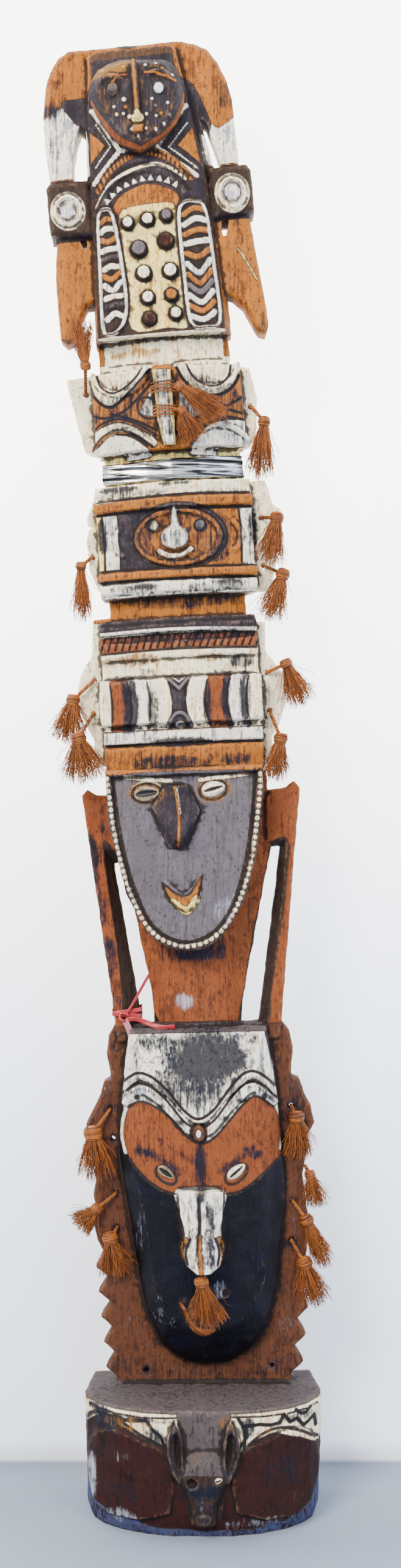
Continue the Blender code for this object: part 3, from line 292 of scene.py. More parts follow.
def base_marks(draw):
    """Half-log base: weathered top, mottled band, two humps, pale foot and the animal's head."""
    hump_left = area([(-140, 80), (-122, 103), (-112, 113), (-102, 116), (-86, 112), (-62, 100), (-37, 88),
        (-30, 60), (-30, -20), (-140, -20)])
    hump_right = area([(32, 76), (38, 87), (50, 97), (64, 103), (77, 104), (95, 98), (114, 87), (140, 62),
        (140, -20), (28, -20)])
    foot = area([(-130, 60), (-121, 47), (-116, 30), (-104, 24), (-92, 17), (-70, 15), (-50, 9), (-20, 9),
        (0, 6), (30, 8), (52, 7), (70, 12), (84, 11), (98, 18), (112, 28), (118, 44), (130, 50), (130, -20),
        (-130, -20)])
    head = area([(-23, 129), (24, 129), (27, 118), (25, 104), (31, 92), (35, 78), (30, 62), (21, 46),
        (17, 24), (10, 15), (-9, 15), (-15, 25), (-18, 44), (-28, 60), (-36, 78), (-33, 94), (-25, 106),
        (-26, 119)])
    ear = area([(-29, 120), (-35, 106), (-37, 91), (-34, 76), (-27, 62), (-21, 66), (-18, 80), (-21, 98)])
    hollow = area([(-28, 109), (-31, 93), (-29, 79), (-25, 71), (-23, 83), (-24, 98)])
    draw.near = None
    draw.fill("oxblood", block(-140, -20, 140, 140))
    draw.fill("cream", block(-140, 78, 140, 140))
    draw.smudge("stain", (-80, 113, 30, 9, 0.42, 6))
    draw.smudge("dark", (-52, 104, 14, 7, 0.5, 5, -20), (-108, 122, 14, 6, 0.8, 5))
    draw.smudge("stain", (22, 119, 12, 8, 0.4, 5), (62, 106, 12, 5, 0.4, 4))
    draw.fill("soot", line([(-112, 124), (-104, 112), (-108, 104)], 2.6),
        line([(-60, 122), (-52, 110), (-44, 104), (-40, 94)], 3))
    draw.fill("umber", line([(-92, 121), (-80, 117), (-62, 119)], 3),
        line([(36, 122), (44, 106), (38, 94)], 3))
    draw.fill("soot", line([(96, 124), (104, 118), (112, 122)], 3))
    draw.fill("oxblood", hump_left, hump_right)
    draw.fill("soot", line([(-124, 106), (-113, 117), (-102, 119), (-86, 115), (-62, 103), (-37, 91)], 3))
    draw.fill("soot", line([(42, 90), (43, 114), (58, 115), (70, 113), (79, 114), (83, 122), (90, 113),
        (97, 115), (104, 106), (116, 112), (118, 100)], 3.2, curved=False), lift=-0.6)
    draw.fill("soot", line([(44, 92), (60, 105), (80, 109), (100, 103), (120, 88)], 2.4),
        line([(-126, 124), (-60, 122), (0, 125), (60, 123), (126, 122)], 1.4))
    draw.fill("lilac", foot)
    draw.smudge("pale", (-86, 82, 16, 12, 0.3, 9), (-60, 66, 12, 8, 0.22, 8), (-84, 18, 16, 10, 0.5, 7),
        (-116, 50, 6, 26, 0.6, 7), (60, 14, 40, 7, 0.35, 7))
    draw.smudge("dark", (80, 66, 26, 22, 0.5, 16))
    draw.smudge("stain", (50, 30, 20, 14, 0.25, 10), (92, 34, 14, 14, 0.3, 9))
    draw.smudge("dark", (-84, 44, 26, 14, 0.45, 12), (-100, 112, 14, 10, 0.9, 6), (-70, 119, 40, 4, 0.7, 4),
        (-48, 103, 12, 9, 0.7, 5, -30), (46, 112, 8, 12, 0.75, 4), (96, 116, 20, 7, 0.6, 5))
    draw.fill("driftwood", block(-140, 127, 140, 140), head)
    draw.fill("umber",
        area([(-22, 66), (22, 66), (20, 46), (15, 24), (10, 15), (-9, 15), (-13, 25), (-17, 44)]))
    draw.smudge("pale", (0, 38, 9, 12, 0.25, 6))
    draw.fill("soot", line([(-33, 94), (-36, 78), (-28, 60), (-18, 44), (-15, 25), (-9, 15), (10, 15),
        (17, 24), (21, 46), (30, 62), (35, 78), (31, 92)], 2), lift=-1)
    draw.smudge("dark", (0, 52, 24, 9, 0.85, 7), (0, 32, 15, 14, 0.55, 6))
    draw.smudge("stain", (-4, 88, 12, 14, 0.25, 8))
    draw.fill("soot", line([(-11, 22), (-4, 19), (5, 19), (12, 22)], 2), lift=-1)
    draw.fill("soot", dots([(-6, 29), (7, 29)], 2.2), lift=-1.2)
    draw.fill("soot", ear, flipped(ear))
    for turned in (hollow, flipped(hollow)):
        draw.fill("umber", turned, lift=-2.4, soft=3)
        draw.rub("pale", 0.28, 3, turned)
    draw.fill("umber", ring(-11, 60, 5.5, 5, 2.2), lift=0.8)
    for level, left, right in ((40, -110, -60), (57, 30, 96), (70, -104, -66)):
        draw.fill(None, line([(left, level), (right, level - 6)], 1.2), lift=-0.4)


def panel_marks(draw):
    """Toothed panel behind the long mask, with its worn edges."""
    draw.near = None
    draw.fill("terracotta", block(-140, 132, 140, 514))
    for u, s, across, tall, amount in ((-98, 430, 12, 30, 0.4), (102, 430, 14, 34, 0.45),
            (-96, 240, 10, 40, 0.3), (-90, 150, 22, 16, 0.45), (92, 150, 26, 18, 0.4), (0, 138, 90, 8, 0.4),
            (104, 250, 8, 40, 0.35), (-112, 400, 8, 14, 0.5), (112, 400, 9, 18, 0.5)):
        draw.smudge("dark", (u, s, across, tall, amount, 9))
    draw.near = (-20, 34)
    for u, s, across, tall in ((-100, 452, 10, 20), (104, 456, 10, 18), (96, 300, 8, 16), (-92, 260, 9, 24),
            (90, 190, 12, 12), (-80, 190, 12, 14), (-96, 360, 8, 14), (100, 390, 7, 14)):
        draw.smudge("pale", (u, s, across, tall, 0.27, 9))
    for u, s in ((-98, 424), (-92, 334), (-91, 295), (-94, 392), (98, 424), (98, 323), (96, 279), (-61, 143),
            (74, 147)):
        draw.smudge("dark", (u, s, 7, 7, 0.7, 3))
    draw.fill("soot", ring(-84, 497, 5, 11, 2, -32), lift=-1)


def long_mask_marks(draw):
    """Long dark mask: white hood, brow band, orange eye field, nose and mouth."""
    outline = [(-73, 514), (-78, 478), (-82, 448), (-87, 419), (-87, 382), (-83, 345), (-77, 308), (-74, 277),
        (-67, 238), (-53, 188), (-39, 168), (-24, 156), (-3, 151), (19, 152), (46, 160), (64, 177), (74, 199),
        (82, 237), (86, 275), (88, 315), (89, 355), (87, 380), (85, 406), (82, 444), (78, 475), (71, 514)]
    crest = [(-84, 448), (-76, 456), (-64, 463), (-50, 459), (-34, 445), (-17, 424), (-2, 415), (14, 424),
        (30, 444), (44, 459), (57, 463), (70, 455), (83, 441)]
    lower = [(-80, 426), (-64, 438), (-46, 432), (-31, 421), (-14, 401), (1, 394), (16, 401), (33, 420),
        (47, 435), (61, 441), (82, 424)]
    field = lower + [(87, 400), (85, 376), (63, 358), (42, 344), (22, 337), (-2, 336), (-25, 340), (-41, 346),
        (-59, 358), (-75, 377), (-83, 398)]
    nose = [(-27, 346), (24, 345), (20, 312), (21, 300), (24, 284), (20, 271), (11, 262), (-6, 262),
        (-16, 266), (-21, 280), (-22, 290), (-18, 301), (-20, 315)]
    hood = [(-75, 509), (70, 508), (84, 441)] + list(reversed(crest[1:-1])) + [(-84, 448)]
    deep = (33, 200)
    draw.near = deep
    draw.fill("navy", area(outline))
    draw.fill("chalk", corners(hood))
    draw.smudge("dark", (8, 480, 48, 32, 0.95, 20), (-10, 456, 40, 30, 0.72, 14), (-44, 498, 26, 12, 0.66, 8),
        (46, 500, 22, 10, 0.6, 7), (-66, 480, 8, 26, 0.5, 7), (66, 478, 6, 26, 0.52, 5),
        (36, 456, 18, 14, 0.55, 8))
    draw.fill("chalk", area(crest + list(reversed(lower))))
    draw.fill("chalk", line(crest, 9), lift=1, soft=3)
    draw.fill("soot", line([(u, s - 6) for u, s in crest], 1.8), line([(u, s + 5.5) for u, s in crest], 2.2),
        lift=-0.8)
    draw.rub("dark", 0.62, 4, line([(u, s - 11) for u, s in crest], 6))
    draw.rub("dark", 0.22, 3, line([(u, s + 1) for u, s in crest], 5))
    for u, s, across in ((-66, 446, 6), (-40, 438, 7), (-22, 421, 6), (24, 424, 7), (44, 442, 6),
            (68, 444, 6)):
        draw.smudge("dark", (u, s - 4, across, 4, 0.75, 3))
    draw.fill("sienna", area(field))
    draw.fill("soot", line(lower, 2))
    draw.fill("chalk", line([(-78, 430), (-83, 414), (-84, 398), (-80, 382)], 4.5),
        line([(81, 428), (86, 414), (87, 398), (85, 382)], 4.5))
    draw.rub("dark", 0.78, 7, line([(-66, 386), (-50, 382), (-34, 372), (-20, 362)], 11),
        line([(20, 364), (34, 372), (48, 383), (60, 380)], 11))
    draw.rub("dark", 0.9, 2.5, line([(44, 386), (54, 388), (60, 382), (57, 377)], 4))
    draw.smudge("dark", (0, 366, 9, 32, 0.8, 7))
    draw.rub("dark", 0.62, 6, line([(-46, 400), (-24, 384), (-6, 372)], 7))
    draw.fill("soot", line([(-75, 376), (-59, 357), (-41, 345), (-27, 341)], 2.4),
        line([(85, 374), (63, 357), (42, 343), (25, 340)], 2.4), lift=-0.6)
    draw.fill("soot", ring(-37, 361, 12.5, 7.5, 2.6, -38))
    draw.fill("umber", ring(37, 361, 13.5, 8, 2.6, 38))
    draw.fill("terracotta", oval(-2, 405, 8.5, 11))
    draw.fill("soot", ring(-2, 405, 8.5, 11, 1.6))
    draw.near = (62, 200)
    draw.fill("chalk", area(nose))
    draw.fill("umber", line([(-3, 340), (-2, 318), (-3, 300)], 3))
    draw.fill("ochre", line([(-3, 303), (-1, 262)], 4.6), lift=0.7)
    draw.fill("ochre", line([(-16, 300), (-21, 286), (-19, 273), (-12, 264)], 3.4),
        line([(18, 300), (22, 286), (20, 272), (13, 264)], 3.4), lift=0.5)
    draw.fill("soot", line([(-12, 300), (-17, 286), (-15, 273)], 2.2),
        line([(14, 300), (18, 286), (16, 273)], 2.2), lift=-0.8)
    draw.rub("dark", 0.95, 3.5, line([(-4, 342), (-4, 300), (-8, 272)], 4))
    draw.rub("dark", 0.8, 5, line([(9, 330), (9, 276)], 11))
    draw.rub("dark", 0.6, 4, line([(-14, 330), (-12, 280)], 7))
    draw.near = deep
    draw.fill("sienna",
        area([(-25, 225), (-18, 221), (-12, 207), (-3, 199), (9, 198), (14, 195), (1, 188), (-13, 197)]),
        lift=0.8)
    draw.fill("soot", oval(24, 235, 4.6, 4.8), lift=-1.2)
    draw.smudge("pale", (-66, 300, 9, 26, 0.3, 12), (-40, 214, 14, 26, 0.22, 12, 20),
        (18, 240, 8, 12, 0.4, 6), (58, 250, 18, 30, 0.18, 14))
    draw.smudge("stain", (-8, 214, 9, 6, 0.5, 5))
    draw.near = (20, 200)
    draw.fill("driftwood", block(-76, 508, 73, 517))


def frame_marks(draw):
    """Open frame: the two arms, their dark inner slopes and the neck board under the grey mask."""
    left_slope = [(-97, 712), (-92, 660), (-85, 600), (-81, 545), (-80, 520), (-58, 520), (-58, 545),
        (-63, 572), (-69, 590), (-72, 622), (-77, 655), (-80, 680), (-86, 706)]
    right_slope = [(102, 708), (99, 664), (94, 628), (87, 591), (79, 546), (74, 512), (44, 512), (51, 554),
        (60, 604), (69, 640), (79, 683), (84, 706)]
    board = (-20, 36)
    neck = (36, 60)
    draw.near = None
    draw.fill("sienna", block(-140, 514, 140, 790))
    draw.near = board
    draw.fill("umber", area(left_slope), area(right_slope))
    draw.fill(None, line([(-97, 712), (-92, 660), (-85, 600), (-81, 545)], 2), lift=0.8)
    draw.fill(None, line([(102, 708), (99, 664), (94, 628), (87, 591), (79, 546)], 2), lift=0.6)
    draw.near = neck
    draw.fill("sienna", block(-62, 514, 62, 640))
    # The row at (-2, 596) is the painted shadow of the grey mask's chin on the neck.
    for u, s, across, tall, amount, depth in ((-108, 690, 8, 34, 0.9, board), (-100, 640, 9, 22, 0.7, board),
            (-94, 588, 9, 26, 0.85, board), (-90, 540, 10, 18, 0.6, board), (-104, 752, 16, 14, 0.5, board),
            (-96, 726, 6, 14, 0.6, board), (112, 752, 8, 16, 0.3, board), (110, 690, 4, 40, 0.35, board),
            (96, 580, 6, 30, 0.35, board), (-2, 596, 56, 14, 0.9, neck), (-34, 556, 8, 20, 0.5, neck),
            (30, 540, 22, 12, 0.45, neck), (8, 566, 12, 16, 0.25, neck)):
        draw.near = depth
        draw.smudge("dark", (u, s, across, tall, amount, 8))
    draw.near = neck
    draw.smudge("pale", (-14, 540, 11, 9, 0.6, 6), (20, 586, 14, 8, 0.3, 6))
    draw.near = None
    draw.fill("umber", line([(-62, 528), (-52, 530), (-45, 519)], 5), lift=-2, soft=2.5)


def grey_mask_marks(draw):
    """Flat grey mask: beaded rim, dark nose with a pale ridge, hollow eyes and a crescent mouth."""
    deep = (62, 200)
    outline = [(-92, 783), (-88, 748), (-84, 715), (-76, 675), (-66, 645), (-57, 624), (-44, 610), (-31, 602),
        (-10, 597), (14, 602), (34, 618), (52, 648), (65, 690), (73, 735), (77, 767), (78, 783)]
    rim = [(-87, 781), (-84, 748), (-80, 716), (-72, 677), (-62, 648), (-53, 628), (-42, 615), (-29, 607),
        (-10, 602), (12, 607), (31, 622), (48, 651), (61, 692), (69, 736), (73, 767), (74, 781)]
    inner = [(u + (-7 - u) * 0.075, s + 4.5) for u, s in rim]
    nose = [(-28, 772), (-4, 771), (10, 744), (0, 722), (-8, 706), (-22, 707), (-30, 724), (-40, 749)]
    draw.near = (45, 200)
    draw.fill("terracotta", block(-140, 590, 140, 783))
    draw.near = deep
    draw.fill("ash", area(outline))
    draw.fill("soot", line(rim, 9))
    draw.fill("ash", line(rim, 4.2))
    draw.fill("cream", dots(spaced(rim, 6.6), 2.9), lift=1.3, soft=2.2)
    draw.rub("dark", 0.42, 3, line(rim, 6))
    draw.fill("soot", line(inner, 1.6), lift=-0.8)
    draw.smudge("pale", (34, 640, 14, 22, 0.4, 9, -30), (-46, 700, 18, 30, 0.14, 12))
    draw.smudge("dark", (-20, 622, 26, 8, 0.25, 6))
    draw.fill("cream", ring(-46, 765, 16, 11, 3.5))
    draw.fill("straw", ring(24, 766, 15, 11, 3, 10))
    draw.smudge("stain", (-46, 764, 24, 16, 0.45, 8), (24, 764, 24, 16, 0.45, 8))
    draw.fill("soot", ring(-46, 764, 15.5, 10, 3), lift=-0.8)
    draw.fill("umber", ring(24, 765, 14.5, 10, 3, 10), lift=-0.8)
    draw.fill("soot", area(nose))
    draw.fill("ochre", line([(-16, 770), (-13, 740), (-15, 707)], 3.6), lift=0.6)
    draw.fill("chalk", line([(-14, 768), (-11, 742)], 1.8))
    draw.fill("ochre", area([(-32, 669), (-26, 664), (-19, 659), (-11, 656), (-3, 660), (6, 675), (7, 664),
        (0, 650), (-9, 639), (-20, 646), (-29, 658)]), lift=0.7)
    draw.fill("soot", line([(-30, 667), (-20, 658), (-11, 655), (-3, 659), (5, 672)], 1.8), lift=-0.8)
    draw.fill("straw", area([(-26, 650), (-9, 634), (6, 650), (1, 656), (-9, 644), (-20, 652)]))
    draw.fill("cream", line([(-68, 782), (-20, 776)], 5), line([(10, 776), (60, 780)], 5))
    draw.rub("dark", 0.45, 4, block(-95, 774, 80, 784))


def collar_marks(draw):
    """Collar band: bars, slanted cuts, bulging stripes and a plain foot."""
    board = (-20, 36)
    stripes = [("cream", -91, -81, -93, -79), ("sienna", -81, -62, -79, -58), ("chalk", -62, -42, -58, -38),
        ("cream", -42, -20, -38, -15), ("cream", 5, 25, -1, 19), ("sienna", 25, 49, 19, 43),
        ("chalk", 49, 68, 43, 63), ("cream", 68, 81, 63, 81)]
    draw.near = None
    draw.fill("cream", block(-140, 783, 140, 951))
    draw.near = board
    draw.fill("cream", block(-140, 783, 140, 949))
    draw.near = (36, 200)
    draw.fill("soot", block(-94, 936, 86, 951))
    draw.fill("chalk", line([(-90, 935), (-6, 936), (80, 933)], 4.4), lift=0.5)
    draw.fill("sienna", corners([(-92, 915), (-8, 917), (82, 915), (82, 931), (-8, 932), (-92, 931)]))
    draw.fill("soot", line([(-92, 914), (-8, 915.5), (82, 914)], 2), lift=-0.8)
    draw.fill("soot", block(-93, 831, 83, 887))
    draw.fill("chalk", block(-93, 816, 83, 831))
    draw.fill("ochre", block(-94, 783, 84, 816))
    draw.fill("soot", line([(-94, 816), (84, 815)], 2), line([(-94, 831), (84, 831)], 2), lift=-0.8)
    for k in range(23):
        at = -88 + 7.5 * k
        across = 4.5 if k < 12 else 6.5
        draw.fill(None, line([(at, 917), (at + across, 931)], 2.4, curved=False), lift=-1.5, soft=1.2)
        draw.fill("soot", line([(at, 917), (at + across, 931)], 1.5, curved=False))
    draw.fill("soot", line([(-6, 931), (6, 917)], 2, curved=False), lift=-1.2)
    for paint, left, right, left_mid, right_mid in stripes:
        shape = corners([(left, 887), (right, 887), (right_mid * 0.75 + right * 0.25, 872), (right_mid, 858),
            (right_mid * 0.75 + right * 0.25, 845), (right, 831), (left, 831),
            (left_mid * 0.75 + left * 0.25, 845), (left_mid, 858), (left_mid * 0.75 + left * 0.25, 872)])
        draw.fill(paint, shape, lift=1.1, soft=2.4)
        # Each bulging stripe is darkened down one side as painted shade, more on the coloured stripes than on
        # the cream ones.
        shaded_side = right if paint == "sienna" or left > 0 else left
        shaded_mid = right_mid if paint == "sienna" or left > 0 else left_mid
        inwards = -4 if shaded_side == right else 4
        edge = [(shaded_side + inwards, 886), (shaded_mid + inwards, 858), (shaded_side + inwards, 832)]
        amount = 0.35 if paint == "cream" else 0.95
        draw.rub("dark", amount, 3.5, line(edge, 8))
    draw.fill("ash", line([(-19, 885), (-7, 873), (4, 885)], 4.5, curved=False), lift=0.9)
    draw.fill("chalk", line([(-14, 886), (-7, 880), (0, 886)], 2.5, curved=False), lift=0.6)
    draw.fill("ash", line([(-21, 834), (-15, 844), (-8, 848), (-1, 844), (4, 834)], 4.5), lift=0.9)
    draw.fill("chalk", oval(-8, 835, 6, 4), lift=0.5)
    draw.smudge("dark", (-44, 824, 13, 7, 0.5, 5))
    draw.smudge("stain", (-66, 905, 24, 8, 0.6, 6))
    draw.smudge("dark", (46, 897, 30, 7, 0.3, 6), (40, 798, 34, 12, 0.5, 9), (-50, 800, 34, 12, 0.42, 9))
    draw.near = board
    draw.smudge("stain", (-104, 868, 8, 50, 0.25, 7), (98, 868, 8, 50, 0.25, 7))


def face_band_marks(draw):
    """Round face band: mouldings, stripes and the round face with its drop nose."""
    board = (-20, 34)
    front = (34, 200)
    drop = [(-4, 1063), (-7, 1048), (-17, 1037), (-15, 1025), (-3, 1020), (9, 1025), (12, 1037), (3, 1048),
        (1, 1063)]
    draw.near = None
    draw.fill("ochre", block(-140, 949, 140, 973))
    # Painted shadow under the round face band, along the top of the ochre band below it.
    draw.smudge("dark", (0, 968, 60, 6, 0.5, 6))
    draw.near = board
    draw.fill("cream", block(-140, 973, 140, 1095))
    draw.near = front
    draw.fill("cream", block(-92, 973, 92, 1095))
    draw.fill("chalk", block(-92, 973, 92, 991))
    draw.fill("ochre", corners([(-92, 992), (92, 989), (92, 1000), (-92, 1003)]),
        corners([(-92, 1064), (92, 1064), (92, 1077), (0, 1078), (-92, 1074)]))
    draw.fill("straw", block(-92, 1003, -79, 1064))
    draw.fill("chalk", block(-79, 1003, -62, 1064))
    draw.fill("soot", corners([(-60, 1003), (-63, 1034), (-60, 1064), (0, 1064), (0, 1003)]))
    draw.fill("ochre", block(0, 1001, 67, 1064))
    draw.fill("chalk", block(67, 1001, 92, 1064))
    draw.fill("soot", oval(1, 1034, 53, 36))
    draw.fill("ash", ring(1, 1034, 49.5, 33.5, 2.2))
    draw.fill("ochre", oval(1, 1034, 46.5, 31.5), lift=1.6, soft=4)
    draw.smudge("dark", (-66, 1034, 4, 30, 0.4, 4), (76, 1034, 5, 30, 0.45, 4), (20, 1048, 30, 14, 0.2, 8))
    draw.fill("soot", line([(-92, 1003), (92, 1000.5)], 2), line([(-92, 1063), (92, 1063)], 2), lift=-0.8)
    draw.fill("soot", line([(-92, 991), (92, 988.5)], 1.6), line([(-92, 1076), (0, 1079), (92, 1078)], 1.6))
    for u in (-79, -62, 67):
        draw.fill("soot", line([(u, 1004), (u + 1, 1034), (u, 1063)], 1.8), lift=-0.9)
    draw.fill("chalk", area(drop), lift=0.6)
    draw.smudge("dark", (-3, 1028, 12, 7, 0.3, 4))
    draw.fill("cream", oval(-25, 1047, 5.6, 5.6))
    draw.fill("ash", oval(25, 1044, 5.6, 5.6))
    draw.fill("soot", ring(-25, 1047, 6.4, 6.4, 1.6), ring(25, 1044, 6.4, 6.4, 1.6))
    draw.fill("cream", line([(-20, 1019), (-5, 1013), (14, 1020)], 6))
    draw.smudge("dark", (-44, 1083, 40, 6, 0.62, 5), (52, 1080, 34, 4, 0.5, 4), (-44, 982, 34, 7, 0.6, 5),
        (38, 980, 34, 7, 0.6, 5), (0, 1070, 80, 4, 0.3, 4), (0, 996, 80, 4, 0.35, 4))
    draw.near = board
    draw.smudge("stain", (-97, 1034, 8, 40, 0.3, 7), (106, 1040, 8, 34, 0.3, 7))


def lobe_band_marks(draw):
    """Lobe band with its white lobes, orange bands, tied nose bar, and the necks beside it."""
    front = (34, 66.5)
    bar = (63.5, 200)
    draw.near = None
    draw.fill("straw", block(-140, 1095, 140, 1128))
    # Painted shade and shadow under the band's lower edge: its underside and the neck just below.
    draw.near = (-20, 50)
    draw.rub("dark", 0.35, 2, block(-140, 1124, 140, 1131))
    draw.near = (-20, 34)
    draw.fill("cream", block(-140, 1128, 140, 1216))
    draw.near = front
    draw.fill("ochre", block(-92, 1127, 92, 1218))
    draw.rub("dark", 0.22, 4, block(-92, 1127, 92, 1218))
    draw.fill("cream", area([(-84, 1220), (-81, 1196), (-70, 1182), (-60, 1178), (-46, 1186), (-30, 1200),
        (-17, 1212), (-12, 1220)]), lift=1.2, soft=2.4)
    draw.fill("soot",
        line([(-82, 1204), (-76, 1188), (-62, 1177), (-46, 1185), (-30, 1199), (-14, 1214)], 2.6), lift=-1)
    draw.fill("soot",
        line([(-74, 1216), (-70, 1200), (-58, 1191), (-44, 1196), (-30, 1207), (-25, 1216)], 1.8), lift=-0.9)
    draw.fill("cream", area([(12, 1220), (14, 1208), (22, 1194), (36, 1184), (52, 1182), (68, 1190),
        (76, 1202), (79, 1220)]), lift=1.2, soft=2.4)
    draw.fill("soot", line([(12, 1212), (20, 1196), (34, 1184), (52, 1181), (68, 1188), (78, 1202)], 2.6),
        lift=-1)
    draw.fill("soot", line([(22, 1216), (28, 1202), (40, 1192), (54, 1191), (66, 1200), (70, 1214)], 1.8),
        line([(-84, 1172), (-66, 1166), (-46, 1172), (-28, 1186), (-14, 1200)], 2.4),
        line([(10, 1196), (22, 1180), (42, 1170), (62, 1170), (84, 1182)], 2.4),
        line([(-62, 1170), (-40, 1162), (-14, 1148)], 2.2),
        line([(12, 1144), (30, 1158), (50, 1168), (84, 1160)], 2.2), lift=-0.9)
    draw.fill("chalk", corners([(-32, 1166), (-18, 1190), (-13, 1162)]))
    draw.fill("soot", ring(-22, 1172, 10, 12, 1.8, 30))
    draw.fill("chalk", area([(14, 1190), (24, 1172), (40, 1164), (24, 1158), (12, 1150)]))
    draw.fill("cream", area([(-84, 1146), (-76, 1155), (-56, 1160), (-36, 1153), (-15, 1138), (-20, 1130),
        (-38, 1143), (-56, 1150), (-74, 1144), (-84, 1134)]), lift=0.8)
    draw.fill("soot", line([(-84, 1150), (-74, 1160), (-54, 1164), (-34, 1156), (-14, 1142)], 2),
        line([(-84, 1134), (-74, 1145), (-56, 1152), (-38, 1145), (-20, 1131)], 2.2), lift=-0.9)
    draw.fill("chalk", area([(-86, 1122), (-76, 1138), (-60, 1147), (-42, 1143), (-28, 1132), (-24, 1122)]),
        area([(22, 1122), (26, 1134), (40, 1148), (60, 1155), (86, 1150), (86, 1122)]), lift=1)
    draw.fill("soot", line([(20, 1126), (26, 1138), (40, 1151), (60, 1158), (84, 1154)], 2.2), lift=-0.9)
    draw.smudge("dark", (34, 1150, 16, 10, 0.25, 5))
    draw.smudge("stain", (-50, 1205, 20, 10, 0.32, 6), (52, 1205, 20, 8, 0.32, 6))
    draw.near = bar
    draw.fill("straw", block(-20, 1120, 12, 1220))
    draw.fill("chalk", line([(-4, 1204), (-4, 1186), (-4, 1160), (-1, 1132)], 10))
    draw.fill("ochre", block(-20, 1207, 12, 1220))
    draw.rub("dark", 0.5, 3, line([(-8, 1198), (-6, 1170), (-4, 1140)], 3))
    draw.near = front
    draw.smudge("dark", (60, 1126, 26, 4, 0.4, 4), (-58, 1134, 14, 5, 0.3, 4))
    draw.near = (-20, 34)
    draw.smudge("dark", (-95, 1180, 8, 30, 0.25, 6))
    draw.near = None
    draw.fill("cream", block(-140, 1216, 140, 1250))
    draw.smudge("dark", (-10, 1218, 66, 5, 0.4, 4))
    draw.smudge("stain", (-40, 1236, 16, 14, 0.35, 7), (30, 1232, 20, 12, 0.3, 7))
    # Painted shade on the torso's underside, and its shadow on the neck just below it.
    draw.near = (-20, 54)
    draw.rub("dark", 0.6, 4, block(-140, 1243, 140, 1256))


def column_marks(draw, path, bands, left, right, tilt):
    """A side panel of the torso: a white outline round a column of curled bands."""
    draw.near = (52, 200)
    draw.fill("umber", area(path))
    for paint, s, bend in bands:
        middle = (left + right) / 2
        draw.fill(paint, line([(left, s - bend), (middle, s + bend), (right, s - bend + tilt)], 7.4),
            lift=0.9, soft=2.2)
    draw.fill("chalk", line(path, 4.6, closed=True), lift=0.5)
    draw.fill("soot",
        line([(u + (1 if u > (left + right) / 2 else -1) * 2.6, s) for u, s in path], 1.2, closed=True))


